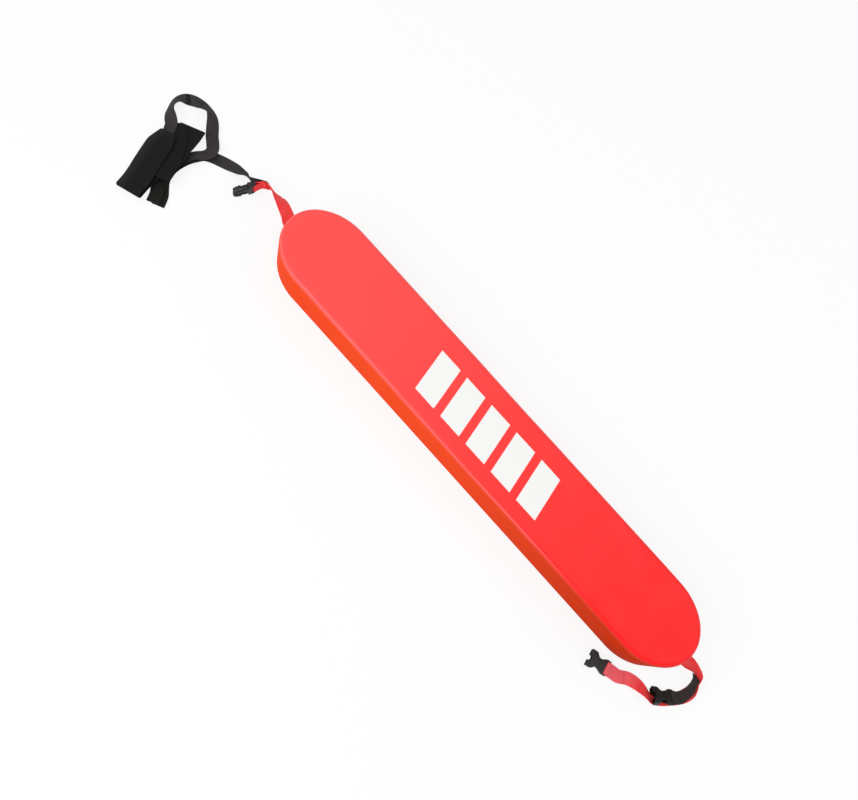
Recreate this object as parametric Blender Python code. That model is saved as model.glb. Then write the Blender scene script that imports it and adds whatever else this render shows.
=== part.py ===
"""Lifeguard rescue tube: a foam float in a dipped vinyl skin on one through webbing.

The webbing leaves the float at both ends. Its head end carries the plug of a side-release
buckle and the tow line with the shoulder strap, folded up beside the float. Its foot end
carries two sockets, so that the float can be closed round a swimmer at two girths.

Frame: the float rests on Z = 0 with its bottom face centred on the origin, +X runs towards
the foot end and +Y is the side away from the folded straps. Lengths are in metres.
"""
import math

import bmesh
import bpy
import numpy as np
from mathutils import Matrix, Vector

MM = 0.001
UP = Vector((0.0, 0.0, 1.0))

# Float
FLOAT_LENGTH = 1000 * MM
FLOAT_WIDTH = 152 * MM
FLOAT_HEIGHT = 90 * MM
END_LENGTH = 95 * MM            # how far the rounded plan of each end reaches along X
EDGE_RADIUS = 9 * MM
SKIN_WALL = 1.2 * MM
END_STEPS = 22                  # facets round the plan of one end
EDGE_STEPS = 4                  # facets round one edge

# Fits
CLEARANCE = 0.3 * MM            # between pieces that touch
LAYER_GAP = 0.5 * MM            # between folded layers of one strap

# Webbing
WEB_WIDTH = 23 * MM
WEB_THICKNESS = 1.5 * MM
STRAP_WIDTH = 51 * MM           # shoulder strap
STRAP_THICKNESS = 2.0 * MM
STRAP_END_WIDTH = 33 * MM       # where its ends narrow to meet the tow line
STRAP_TAPER = 38 * MM
RING_STEP = 4.5 * MM            # spacing of the rings along a free strap
LOOP_OPENING = 13 * MM          # length over which a loop closes from its bar
HEAD_FOLD = 26 * MM             # length of the webbing that is folded back and sewn
FOOT_FOLD = 36 * MM
CARRIER_FOLD = 12 * MM

# Side-release buckle, lengths measured from the centre of the bar
BAR_RADIUS = 2.0 * MM
SLOT_LENGTH = 4.5 * MM          # free length of the webbing slot beside the bar
SLOT_WIDTH = WEB_WIDTH + 2 * CLEARANCE
RAIL_WIDTH = 1.9 * MM           # side rails beside the slot
REAR_HEIGHT = 7.0 * MM
BUCKLE_HEIGHT = 11.0 * MM
EDGE_SOFTNESS = 1.3 * MM

MOUTH_WIDTH = 30.5 * MM
WAIST_WIDTH = 17 * MM
SOCKET_LENGTH = 37 * MM
COLLAR_LENGTH = 9.5 * MM        # closed ring at the mouth that the barbs catch behind
WINDOW_LENGTH = 15 * MM
CAVITY_WIDTH = 26 * MM
CAVITY_HEIGHT = 7.4 * MM
MOUTH_NOTCH_WIDTH = 9 * MM
MOUTH_NOTCH_DEPTH = 5 * MM

BASE_LENGTH = 11.7 * MM         # plug base, up to the roots of the arms
STOP_LENGTH = 14.5 * MM         # centre block that meets the socket's mouth
STOP_WIDTH = 15.6 * MM
ARM_HEIGHT = 6.6 * MM
ARM_PIVOT_Y = 10.4 * MM
ARM_ROOT_RADIUS = 2.0 * MM
BARB_REACH = 0.4 * MM           # of the free barbs, less than half the mouth's width by this
PRONG_LENGTH = 24.5 * MM        # of arms and tongue, past the stop
TONGUE_ROOT_WIDTH = 6.8 * MM
TONGUE_TIP_WIDTH = 4.6 * MM

# Tips of the float in millimetres. What lies beyond a tip is placed from it.
HEAD_TIP = -FLOAT_LENGTH / 2 / MM
FOOT_TIP = FLOAT_LENGTH / 2 / MM


def beyond(tip, points):
    """Points whose x is counted from a tip of the float."""
    return [(tip + point[0], *point[1:]) for point in points]


# Where the buckles lie: centre of the bar in millimetres, and the heading from bar to mouth
PLUG_BAR = (HEAD_TIP - 105.7, 7.9, 15.5)
PLUG_HEADING = -111.0
NEAR_BAR = (FOOT_TIP + 47.5, -50.7, 14.6)
NEAR_HEADING = -139.5
NEAR_ROLL = 33.0
FAR_BAR = (FOOT_TIP - 66, -100.9, 6.5)
FAR_HEADING = -165.5

# Routes are hand-set points in millimetres with the strap's roll in degrees. A roll of 0 lies
# flat, and a positive roll lifts the strap's left edge, seen along the route.
HEAD_ROUTE = beyond(HEAD_TIP, [
    (-7, 1.5, 44.9, 0), (-17, 7.5, 44.4, 0), (-29.5, 12.6, 43, 4), (-40.6, 17, 40.5, 12),
    (-49.6, 20.4, 37, 24), (-57.6, 22.4, 33.5, 38), (-65.8, 24.8, 30, 52), (-75.2, 26.4, 26, 72),
    (-85, 26.8, 22, 78), (-93, 26, 18.5, 84), (-99.8, 22.2, 16, 90),
])
FOOT_ROUTE = beyond(FOOT_TIP, [
    (14.7, 3.7, 43, 12), (28.2, 5.9, 37, 45), (38.5, 7.7, 31, 67), (47.2, 9, 25.5, 80),
    (55, 8.4, 20, 88), (60.5, 4.5, 16.3, 90), (63.8, -2, 14, 88), (66, -11.2, 12, 66),
    (67, -21, 8.8, 34), (64, -33, 6.4, 24), (57, -44, 5.9, 22), (47, -56, 5.9, 22),
    (36, -68, 6.3, 25), (25, -76.6, 7.3, 31), (15, -79.2, 9.4, 45), (6, -78.6, 7.7, 34),
    (-3.5, -78.5, 5.7, 22), (-15, -80, 3.4, 9), (-27, -84, 2.2, 0),
])
CARRIER_ROUTE = beyond(FOOT_TIP, [(61, -11.5, 15.4, 78), (61.2, -23, 16.6, 66), (58.8, -35, 15.6, 46)])
TOW_ROUTE = beyond(HEAD_TIP, [
    (-121.6, 13, 15, 80), (-127, 12.3, 14.2, 72), (-136.2, 11.6, 12.5, 42), (-145, 10.1, 9.5, 27),
    (-156.4, 8.3, 6.5, 13), (-169.5, 4.6, 3.5, 3), (-183.8, -0.6, 1.7, 0), (-198, -8, 2.2, 3),
    (-208.3, -19.4, 4.6, 14), (-213, -33.9, 7, 24), (-218, -47.5, 7.4, 22), (-222, -62, 6, 14),
    (-224, -78, 3.8, 5), (-221.5, -94, 1.8, 0), (-213.3, -107.5, 1.5, 0),
    (-202.3, -118, 1.5, 0), (-194.5, -125, 1.5, 0),
    (-189.5, -132, 1.5, 0), (-186.5, -137, 1.5, 0), (-184, -142, 1.5, 0),
])
TOW_LOOP_ROUTE = beyond(HEAD_TIP, [
    (-207, -21, 12.4, -16), (-204.5, -11, 11.4, -10), (-207, -2, 10.6, -6), (-215, 5.5, 9.8, -3),
    (-229.5, 16, 9, 4),
    (-243.2, 28.4, 8.6, 12), (-256.4, 39.4, 9, 32), (-268.8, 44.9, 10.3, 45),
    (-280.9, 43.6, 10, 32), (-292.2, 40.4, 8.4, 14), (-306, 35.1, 6.2, 0), (-316.3, 26.6, 6.2, 6),
    (-320.8, 15.6, 8.4, 29), (-319.7, 4.1, 10.8, 48), (-315.2, -6.4, 12, 54),
    (-309, -14, 12.8, 42), (-298.5, -20.5, 13.8, 18),
])
TOW_TUCK = beyond(HEAD_TIP, [(-286.5, -27), (-277, -41), (-269, -57), (-262, -75)])   # between strap layers
TOW_SEWN_FROM_BAR = (29 * MM, 23 * MM, 17 * MM)     # where it is sewn on the red loop
TOW_FOLD = 58 * MM              # length that is folded to and fro
TOW_STACK_STEP = 11.5 * MM      # spacing of the route points of the stacked folds
TOW_FOLD_SHIFTS = (-2, -9)      # how far aside the folds lie, in millimetres
TOW_LEAVES_STACK = (HEAD_TIP - 213, -34, 7)
CARRIER_START = (FOOT_TIP + 56, 8, 19)    # where the black webbing begins on the red one
CARRIER_LIFT = 1.9              # layers between the two, which leaves room for the twist

MATERIALS = {
    "vinyl_red": ((0.93, 0.075, 0.07), 0.38),
    "foam": ((0.86, 0.84, 0.78), 0.85),
    "webbing_red": ((0.80, 0.05, 0.05), 0.62),
    "webbing_black": ((0.035, 0.034, 0.036), 0.7),
    "buckle_black": ((0.03, 0.028, 0.03), 0.42),
}


def clear_scene():
    for item in list(bpy.data.objects):
        bpy.data.objects.remove(item, do_unlink=True)


def material(name):
    """The named plastic or textile finish, made on its first use."""
    found = bpy.data.materials.get(name)
    if found:
        return found
    colour, roughness = MATERIALS[name]
    made = bpy.data.materials.new(name)
    made.use_nodes = True
    shader = made.node_tree.nodes["Principled BSDF"]
    shader.inputs["Base Color"].default_value = (*colour, 1.0)
    shader.inputs["Roughness"].default_value = roughness
    made.diffuse_color = (*colour, 1.0)
    return made


def finish_mesh(name, mesh_builder, finish, smooth_degrees=40):
    """Turns a bmesh into a linked object with its normals outward and its finish set."""
    bmesh.ops.recalc_face_normals(mesh_builder, faces=mesh_builder.faces)
    mesh = bpy.data.meshes.new(name)
    mesh_builder.to_mesh(mesh)
    mesh_builder.free()
    mesh.materials.append(material(finish))
    mesh.shade_smooth()
    mesh.set_sharp_from_angle(angle=math.radians(smooth_degrees))
    made = bpy.data.objects.new(name, mesh)
    bpy.context.scene.collection.objects.link(made)
    return made


def loft(name, rings, finish, smooth_degrees=40):
    """A closed skin over equal rings of points, with a flat face on each end."""
    builder = bmesh.new()
    rows = [[builder.verts.new(point) for point in ring] for ring in rings]
    count = len(rows[0])
    for lower, upper in zip(rows, rows[1:]):
        for i in range(count):
            j = (i + 1) % count
            builder.faces.new((lower[i], lower[j], upper[j], upper[i]))
    builder.faces.new(list(reversed(rows[0])))
    builder.faces.new(rows[-1])
    return finish_mesh(name, builder, finish, smooth_degrees)


def box(name, low, high):
    """A cutter with two opposite corners."""
    plan = [(low[0], low[1]), (high[0], low[1]), (high[0], high[1]), (low[0], high[1])]
    rings = [[Vector((x, y, z)) for x, y in plan] for z in (low[2], high[2])]
    return as_cutter(loft(name, rings, "foam"))


def as_cutter(thing):
    thing.hide_render = True
    thing.display_type = "WIRE"
    return thing


def boolean(target, tool, operation):
    change = target.modifiers.new(operation.lower() + "_" + tool.name, "BOOLEAN")
    change.operation = operation
    change.solver = "EXACT"
    change.object = tool


# Float


def float_ring(inset, height):
    """Plan of the float at one height, drawn in by inset from its widest outline."""
    straight = FLOAT_LENGTH / 2 - END_LENGTH
    reach = END_LENGTH - inset
    half = FLOAT_WIDTH / 2 - inset
    points = []
    for side in (1, -1):
        for step in range(END_STEPS + 1):
            angle = math.pi * (step / END_STEPS - 0.5)
            x = side * (straight + reach * math.cos(angle))
            points.append(Vector((x, side * half * math.sin(angle), height)))
    return points


def float_body(name, wall, low, high, round_low, round_high, finish):
    """The float's form, wall inside its outline, between two heights."""
    radius = EDGE_RADIUS - wall
    turns = [math.pi / 2 * step / EDGE_STEPS for step in range(EDGE_STEPS + 1)]
    rings = []
    if round_low:
        rings += [
            float_ring(wall + radius * (1 - math.sin(turn)), low + radius * (1 - math.cos(turn)))
            for turn in turns
        ]
    else:
        rings.append(float_ring(wall, low))
    if round_high:
        rings += [
            float_ring(wall + radius * (1 - math.sin(turn)), high - radius * (1 - math.cos(turn)))
            for turn in reversed(turns)
        ]
    else:
        rings.append(float_ring(wall, high))
    return loft(name, rings, finish)


def make_float():
    """Two foam halves, laminated over the webbing, in a skin with a slit at each end."""
    middle = FLOAT_HEIGHT / 2
    skin = float_body("vinyl_skin", 0.0, 0.0, FLOAT_HEIGHT, True, True, "vinyl_red")
    room = float_body("skin_room", SKIN_WALL, SKIN_WALL, FLOAT_HEIGHT - SKIN_WALL, True, True, "foam")
    boolean(skin, as_cutter(room), "DIFFERENCE")

    half_slot = WEB_THICKNESS / 2 + CLEARANCE
    reach = FLOAT_LENGTH / 2 + EDGE_RADIUS
    slit = box(
        "webbing_slit",
        (-reach, -SLOT_WIDTH / 2, middle - half_slot),
        (reach, SLOT_WIDTH / 2, middle + half_slot),
    )
    boolean(skin, slit, "DIFFERENCE")

    wall = SKIN_WALL + CLEARANCE
    upper = float_body(
        "foam_core_upper", wall, middle + CLEARANCE / 2, FLOAT_HEIGHT - wall, False, True, "foam"
    )
    lower = float_body(
        "foam_core_lower", wall, wall, middle - CLEARANCE / 2, True, False, "foam"
    )
    for half in (upper, lower):
        boolean(half, slit, "DIFFERENCE")


# Straps


class Route:
    """A smooth curve through hand-set points, each with its roll in degrees."""

    def __init__(self, points, up=UP, per_span=24):
        knots = np.array(points, dtype=float)
        chord = np.sqrt(np.linalg.norm(np.diff(knots[:, :3], axis=0), axis=1))
        times = np.concatenate(([0.0], np.cumsum(chord)))
        slopes = np.gradient(knots, times, axis=0)
        rows = []
        for i in range(len(knots) - 1):
            span = times[i + 1] - times[i]
            for u in np.linspace(0.0, 1.0, per_span, endpoint=i == len(knots) - 2):
                blend_start = 2 * u**3 - 3 * u**2 + 1
                blend_end = 3 * u**2 - 2 * u**3
                pull_start = (u**3 - 2 * u**2 + u) * span
                pull_end = (u**3 - u**2) * span
                rows.append(
                    blend_start * knots[i] + blend_end * knots[i + 1]
                    + pull_start * slopes[i] + pull_end * slopes[i + 1]
                )
        self.rows = np.array(rows)
        self.rows[:, :3] *= MM
        steps = np.linalg.norm(np.diff(self.rows[:, :3], axis=0), axis=1)
        self.marks = np.concatenate(([0.0], np.cumsum(steps)))
        self.length = float(self.marks[-1])
        self.up = up

    def point(self, mark):
        return Vector([float(np.interp(mark, self.marks, self.rows[:, k])) for k in range(3)])

    def heading(self, mark, reach=1.2 * MM):
        ahead = self.point(min(mark + reach, self.length))
        return (ahead - self.point(max(mark - reach, 0.0))).normalized()

    def across(self, mark):
        """The strap's width direction, its left side seen along the route."""
        heading = self.heading(mark)
        left = self.up.cross(heading).normalized()
        roll = math.radians(float(np.interp(mark, self.marks, self.rows[:, 3])))
        return Matrix.Rotation(roll, 3, heading) @ left

    def stations(self, marks, turned=False):
        sign = -1.0 if turned else 1.0
        return [(self.point(mark), self.across(mark) * sign) for mark in marks]

    def even(self, start, end, step=RING_STEP):
        count = max(1, round(abs(end - start) / step))
        return [start + (end - start) * i / count for i in range(count + 1)]


def framed(stations):
    """Adds to each station its heading and its face direction, square to each other."""
    result = []
    for i, (point, across) in enumerate(stations):
        before = stations[max(i - 1, 0)][0]
        after = stations[min(i + 1, len(stations) - 1)][0]
        heading = (after - before).normalized()
        side = (across - heading * across.dot(heading)).normalized()
        result.append((point, side, heading.cross(side)))
    return result


def ribbon(name, stations, width, thickness, finish, taper=0.0, taper_width=0.0):
    """A closed strap over stations of a point and a width direction.

    With a taper its ends narrow to taper_width over that length.
    """
    rings = []
    rows = framed(stations)
    steps = [(rows[i + 1][0] - rows[i][0]).length for i in range(len(rows) - 1)]
    marks = np.concatenate(([0.0], np.cumsum(steps)))
    for mark, (point, side, face) in zip(marks, rows):
        here = width
        if taper:
            full = min(min(mark, marks[-1] - mark) / taper, 1.0)
            here = taper_width + (width - taper_width) * full
        thick = face * (thickness / 2)
        lanes = [point + side * (here * lane) for lane in (-0.5, 0.0, 0.5)]
        rings.append([lane - thick for lane in lanes] + [lane + thick for lane in reversed(lanes)])
    return loft(name, rings, finish, smooth_degrees=30)


def bar_loop(route, fold, side):
    """A strap that follows a route to a bar, turns round it and is sewn back on itself.

    The route ends at the bar's centre. The strap runs beside it by half a layer, opens to
    clear the bar, and its sewn tail lies on the side given, 1 for the face's side.
    """
    radius = BAR_RADIUS + CLEARANCE + WEB_THICKNESS / 2
    half_gap = (WEB_THICKNESS + LAYER_GAP) / 2
    end = route.length
    beside_bar = [end - value * MM for value in (21, 17, 13.5, 11, 9, 7, 5, 3, 1.5, 0)]
    marks = route.even(0.0, beside_bar[0])[:-1] + beside_bar

    def offset(mark):
        away = end - mark
        if away < LOOP_OPENING:
            swell = math.cos(math.pi / 2 * away / LOOP_OPENING) ** 2
            return half_gap + (radius - half_gap) * swell
        fade = min(max((away - fold) / (2 * LOOP_OPENING), 0.0), 1.0)
        return half_gap * (0.5 + 0.5 * math.cos(math.pi * fade))

    rows = framed(route.stations(marks))
    lengths = dict(zip(marks, rows))
    lead = [(p - n * side * offset(m), a) for m, (p, a, n) in lengths.items()]
    centre, across, face = rows[-1]
    ahead = route.heading(end)
    turn = []
    for step in range(1, 8):
        angle = math.pi * step / 8
        arm = ahead * math.sin(angle) - face * side * math.cos(angle)
        turn.append((centre + arm * radius, across))
    tail = [(p + n * side * offset(m), a) for m, (p, a, n) in lengths.items() if end - m <= fold]
    return lead + turn + list(reversed(tail))


def hairpin(first, second, bulge=None):
    """Rings round a fold between two stacked runs of one strap, half round without a bulge."""
    start, across_start = first[-1]
    end, across_end = second[0]
    ahead = (start - first[-2][0]).normalized()
    centre = (start + end) / 2
    arm = start - centre
    if bulge is None:
        bulge = arm.length
    rings = []
    for step in range(1, 4):
        angle = math.pi * step / 4
        point = centre + arm * math.cos(angle) + ahead * bulge * math.sin(angle)
        rings.append((point, across_start.lerp(across_end, step / 4).normalized()))
    return rings


def least_self_gap(stations, width, thickness, apart):
    """Least gap between stretches of one strap that lie further apart along it."""
    rows = framed(stations)
    lanes = (-0.48, -0.24, 0.0, 0.24, 0.48)
    points = np.array([[p + s * width * lane for lane in lanes] for p, s, n in rows])
    centres = np.array([p for p, s, n in rows])
    marks = np.concatenate(([0.0], np.cumsum(np.linalg.norm(np.diff(centres, axis=0), axis=1))))
    least = 1.0
    for i in range(len(rows)):
        for j in range(i + 1, len(rows) - 1):
            if marks[j] - marks[i] < apart:
                continue
            face = np.array(rows[i][2])
            side = np.array(rows[i][1])
            for lane in points[j]:
                away = lane - centres[i]
                ahead = away - face * away.dot(face) - side * away.dot(side)
                if abs(away.dot(side)) < width / 2 and np.linalg.norm(ahead) < 1.5 * MM:
                    least = min(least, abs(away.dot(face)) - thickness)
    return least


def heading_vector(degrees, drop=0.0):
    turn = math.radians(degrees)
    fall = math.radians(drop)
    return Vector((math.cos(turn) * math.cos(fall), math.sin(turn) * math.cos(fall), -math.sin(fall)))


def approach(bar, heading, drop, lengths, roll):
    """Route points that run straight up to a bar, against the heading of its buckle."""
    ahead = heading_vector(heading, drop)
    points = []
    for length in lengths:
        place = Vector(bar) - ahead * length
        points.append((place.x, place.y, place.z, roll))
    return points


def make_through_webbing():
    """One red webbing through the core, looped round the plug's bar and the far socket's bar."""
    middle = FLOAT_HEIGHT / 2
    tip = FLOAT_LENGTH / 2
    inner = [(Vector((x, 0.0, middle)), Vector((0.0, 1.0, 0.0)))
             for x in np.linspace(-tip + RING_STEP, tip - RING_STEP, 6)]

    exit_height = middle / MM
    start = [(-tip / MM, 0.0, exit_height, 0.0)]
    head = Route(start + HEAD_ROUTE + approach(PLUG_BAR, PLUG_HEADING, 0.0, (7, 3.5, 0), 90))
    head_stations = bar_loop(head, HEAD_FOLD, -1)

    start = [(tip / MM, 0.0, exit_height, 0.0)]
    foot = Route(start + FOOT_ROUTE + approach(FAR_BAR, FAR_HEADING, -5.5, (24, 14, 7, 0), 0))
    foot_stations = bar_loop(foot, FOOT_FOLD, 1)

    back = [(point, -across) for point, across in reversed(head_stations)]
    ribbon("through_webbing", back + inner + foot_stations, WEB_WIDTH, WEB_THICKNESS, "webbing_red")
    return head, foot


def make_carrier(foot):
    """Black webbing sewn on the red one, which carries the near socket in its loop."""
    layer = WEB_THICKNESS + LAYER_GAP
    start = nearest_mark(foot, CARRIER_START)
    marks = (start, start + 5 * MM, start + 10 * MM)
    points = sewn_beside(foot, marks, CARRIER_LIFT * layer)
    route = Route(points + CARRIER_ROUTE + approach(NEAR_BAR, NEAR_HEADING, 0, (10, 6, 3, 0), NEAR_ROLL))
    stations = bar_loop(route, CARRIER_FOLD, 1)
    ribbon("carrier_webbing", stations, WEB_WIDTH, WEB_THICKNESS, "webbing_black")


def nearest_mark(route, place):
    """Length along a route where it passes nearest to a place given in millimetres."""
    away = np.linalg.norm(route.rows[:, :3] / MM - np.array(place), axis=1)
    return float(route.marks[int(np.argmin(away))])


def sewn_beside(route, marks, lift):
    """Route points that lie on the face side of another strap's stretch, lift from its middle."""
    points = []
    for mark in marks:
        place, side, face = framed(route.stations([mark - 1 * MM, mark, mark + 1 * MM]))[1]
        place = (place + face * lift) / MM
        roll = float(np.interp(mark, route.marks, route.rows[:, 3]))
        points.append((place.x, place.y, place.z, roll))
    return points


# Buckles


def rounded_section(x, half_width, half_height, softness):
    """One cross-section of a moulded body at x, with rounded corners."""
    points = []
    soft = min(softness, half_height * 0.9)
    for corner, (sy, sz) in enumerate(((1, 1), (-1, 1), (-1, -1), (1, -1))):
        for step in range(4):
            angle = math.pi / 2 * (corner + step / 3)
            y = sy * (half_width - soft) + soft * math.cos(angle)
            z = sz * (half_height - soft) + soft * math.sin(angle)
            points.append(Vector((x, y, z)))
    return points


def ease(low, high, start, end, x):
    part = min(max((x - start) / (end - start), 0.0), 1.0)
    return low + (high - low) * (0.5 - 0.5 * math.cos(math.pi * part))


def rear_half_width():
    return SLOT_WIDTH / 2 + RAIL_WIDTH


def add_bar(body, name):
    """Opens the webbing slot at the rear of a buckle and puts its round bar across."""
    open_slot = box(
        name + "_slot",
        (-4 * BAR_RADIUS, -SLOT_WIDTH / 2, -BUCKLE_HEIGHT),
        (BAR_RADIUS + SLOT_LENGTH, SLOT_WIDTH / 2, BUCKLE_HEIGHT),
    )
    boolean(body, open_slot, "DIFFERENCE")
    sides = 14
    rings = []
    reach = SLOT_WIDTH / 2 + RAIL_WIDTH / 2
    for y in (reach, -reach):
        rings.append([
            Vector((BAR_RADIUS * math.cos(2 * math.pi * k / sides), y,
                    BAR_RADIUS * math.sin(2 * math.pi * k / sides)))
            for k in range(sides)
        ])
    bar = as_cutter(loft(name + "_bar", rings, "buckle_black"))
    boolean(body, bar, "UNION")
    return [open_slot, bar]


def place_buckle(pieces, bar, heading, roll):
    """Puts buckle pieces, made with the bar on their local Y axis, where the strap holds them."""
    frame = Matrix.Translation(Vector(bar) * MM) @ Matrix.Rotation(math.radians(heading), 4, "Z")
    frame = frame @ Matrix.Rotation(math.radians(roll), 4, "X")
    for piece in pieces:
        piece.matrix_world = frame @ piece.matrix_world


def make_socket(name, bar, heading, roll):
    """The socket: an hourglass shell with a mouth ring, two side windows and a webbing bar."""
    length = SOCKET_LENGTH
    flare_end = length - COLLAR_LENGTH + 1.5 * MM
    waist_start = length - COLLAR_LENGTH - WINDOW_LENGTH + 4.5 * MM
    waist_end = waist_start + 2.5 * MM
    shoulder = BAR_RADIUS + SLOT_LENGTH - 1.5 * MM
    rear_end = -BAR_RADIUS - 0.4 * MM

    def half_width(x):
        if x < waist_start:
            return ease(rear_half_width(), WAIST_WIDTH / 2, shoulder, waist_start, x)
        return ease(WAIST_WIDTH / 2, MOUTH_WIDTH / 2, waist_end, flare_end, x)

    def half_height(x):
        return ease(REAR_HEIGHT / 2, BUCKLE_HEIGHT / 2, rear_end, waist_start, x)

    stops = [rear_end, rear_end + 0.9 * MM, shoulder]
    stops += list(np.linspace(shoulder, waist_start, 8))[1:]
    stops += list(np.linspace(waist_end, flare_end, 8))
    stops += [length - 2.6 * MM, length - 2.2 * MM, length - 0.5 * MM, length]
    rings = []
    for x in stops:
        draw = 0.9 * MM if x in (stops[0], stops[-1]) else 0.0
        lip = 0.5 * MM if x > length - 2.4 * MM else 0.0
        rings.append(rounded_section(
            x, half_width(x) - draw * 0.6 + lip * 0.4, half_height(x) - draw + lip, EDGE_SOFTNESS
        ))
    body = loft(name, rings, "buckle_black")

    floor_x = length - COLLAR_LENGTH - WINDOW_LENGTH
    cavity = box(
        name + "_cavity",
        (floor_x, -CAVITY_WIDTH / 2, -CAVITY_HEIGHT / 2),
        (length + 5 * MM, CAVITY_WIDTH / 2, CAVITY_HEIGHT / 2),
    )
    boolean(body, cavity, "DIFFERENCE")
    windows = box(
        name + "_windows",
        (floor_x, -MOUTH_WIDTH, -CAVITY_HEIGHT / 2),
        (floor_x + WINDOW_LENGTH, MOUTH_WIDTH, CAVITY_HEIGHT / 2),
    )
    boolean(body, windows, "DIFFERENCE")
    notch = round_notch(name + "_notch", length)
    boolean(body, notch, "DIFFERENCE")
    tools = add_bar(body, name)
    place_buckle([body, cavity, windows, notch] + tools, bar, heading, roll)
    return body


def round_notch(name, length):
    """A U-shaped cutter that opens the mouth's upper and lower lips."""
    radius = MOUTH_NOTCH_WIDTH / 2
    centre = length - MOUTH_NOTCH_DEPTH + radius
    plan = [(length + 5 * MM, -radius)]
    for step in range(9):
        angle = -math.pi / 2 - math.pi * step / 8
        plan.append((centre + radius * math.cos(angle), radius * math.sin(angle)))
    plan.append((length + 5 * MM, radius))
    rings = [[Vector((x, y, z)) for x, y in plan] for z in (-BUCKLE_HEIGHT, BUCKLE_HEIGHT)]
    return as_cutter(loft(name, rings, "foam"))


def make_plug():
    """The plug: base with webbing bar, stop block, tongue and two sprung arms with barbs."""
    rear_end = -BAR_RADIUS - 0.4 * MM
    shoulder = BAR_RADIUS + SLOT_LENGTH

    def half_height(x):
        return ease(REAR_HEIGHT / 2, BUCKLE_HEIGHT / 2, rear_end, shoulder, x)

    stops = [rear_end, rear_end + 0.9 * MM, 1.0 * MM, 3.5 * MM, shoulder]
    stops += [BASE_LENGTH - 0.8 * MM, BASE_LENGTH]
    rings = []
    for x in stops:
        draw = 0.8 * MM if x in (stops[0], stops[-1]) else 0.0
        rings.append(rounded_section(
            x, rear_half_width() - draw * 0.6, half_height(x) - draw, EDGE_SOFTNESS
        ))
    body = loft("plug_body", rings, "buckle_black")

    tip = STOP_LENGTH + PRONG_LENGTH
    seat = BASE_LENGTH - 2 * MM
    stop_rings = [
        rounded_section(x, STOP_WIDTH / 2 - draw, BUCKLE_HEIGHT / 2 - 0.9 * MM - draw, 0.8 * MM)
        for x, draw in ((seat, 0.0), (STOP_LENGTH - 0.6 * MM, 0.0), (STOP_LENGTH, 0.6 * MM))
    ]
    stop = as_cutter(loft("plug_stop", stop_rings, "buckle_black"))
    boolean(body, stop, "UNION")
    tongue_rings = []
    for x, part, draw in (
        (seat, 0.0, 0.0), (STOP_LENGTH, 0.0, 0.0), (tip - 3 * MM, 1.0, 0.0),
        (tip - 1.0 * MM, 1.0, 0.5 * MM), (tip, 1.0, 1.3 * MM),
    ):
        half = (TONGUE_ROOT_WIDTH + (TONGUE_TIP_WIDTH - TONGUE_ROOT_WIDTH) * part) / 2
        tongue_rings.append(rounded_section(x, half - draw, ARM_HEIGHT / 2 - draw * 0.8, 0.7 * MM))
    tongue = as_cutter(loft("plug_tongue", tongue_rings, "buckle_black"))
    boolean(body, tongue, "UNION")
    tools = add_bar(body, "plug")

    arms = [make_latch_arm("latch_arm_upper", 1), make_latch_arm("latch_arm_lower", -1)]
    place_buckle([body, stop, tongue] + tools + arms, PLUG_BAR, PLUG_HEADING, 90.0)


def make_latch_arm(name, side):
    """One sprung arm with its barb, its origin at the place where it bends."""
    pivot_x = BASE_LENGTH + CLEARANCE + ARM_ROOT_RADIUS
    tip = STOP_LENGTH + PRONG_LENGTH
    barb = MOUTH_WIDTH / 2 - BARB_REACH
    catch = STOP_LENGTH + COLLAR_LENGTH + CLEARANCE
    plan = []
    for step in range(7):
        angle = math.pi / 2 + math.pi * step / 6
        x = pivot_x + ARM_ROOT_RADIUS * math.cos(angle)
        plan.append((x, ARM_PIVOT_Y + ARM_ROOT_RADIUS * math.sin(angle)))
    plan += [
        (catch, ARM_PIVOT_Y - 2.2 * MM), (tip - 6 * MM, ARM_PIVOT_Y - 3.0 * MM),
        (tip - 2 * MM, ARM_PIVOT_Y - 3.8 * MM), (tip - 0.5 * MM, ARM_PIVOT_Y - 3.3 * MM),
        (tip, ARM_PIVOT_Y - 2.0 * MM), (tip - 1.2 * MM, ARM_PIVOT_Y - 0.6 * MM),
        (tip - 5 * MM, barb - 2.0 * MM), (catch + 5 * MM, barb - 0.6 * MM),
        (catch + 2.6 * MM, barb), (catch + 0.5 * MM, barb), (catch, barb - 0.5 * MM),
        (catch, ARM_PIVOT_Y + 0.9 * MM), (catch - 1.2 * MM, ARM_PIVOT_Y + 0.6 * MM),
    ]
    soft = 0.5 * MM
    rings = []
    for z, draw in ((-1, soft), (-1, 0.0), (1, 0.0), (1, soft)):
        height = z * (ARM_HEIGHT / 2 - (0.0 if draw else soft))
        rings.append([
            Vector((x - pivot_x, side * (y - ARM_PIVOT_Y), height)) for x, y in drawn_in(plan, draw)
        ])
    arm = loft(name, rings, "buckle_black")
    arm.location = (pivot_x, side * ARM_PIVOT_Y, 0.0)
    bpy.context.view_layer.update()
    return arm


def drawn_in(plan, inset):
    """An outline moved inwards by inset, corner by corner."""
    if not inset:
        return plan
    count = len(plan)
    result = []
    for i, (x, y) in enumerate(plan):
        before = Vector(plan[i]) - Vector(plan[i - 1])
        after = Vector(plan[(i + 1) % count]) - Vector(plan[i])
        inward = Vector((-before.y, before.x)).normalized() + Vector((-after.y, after.x)).normalized()
        scale = inset / max(inward.length_squared / 2, 0.6)
        result.append((x + inward.x * scale, y + inward.y * scale))
    return result


# Tow line and shoulder strap

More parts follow.
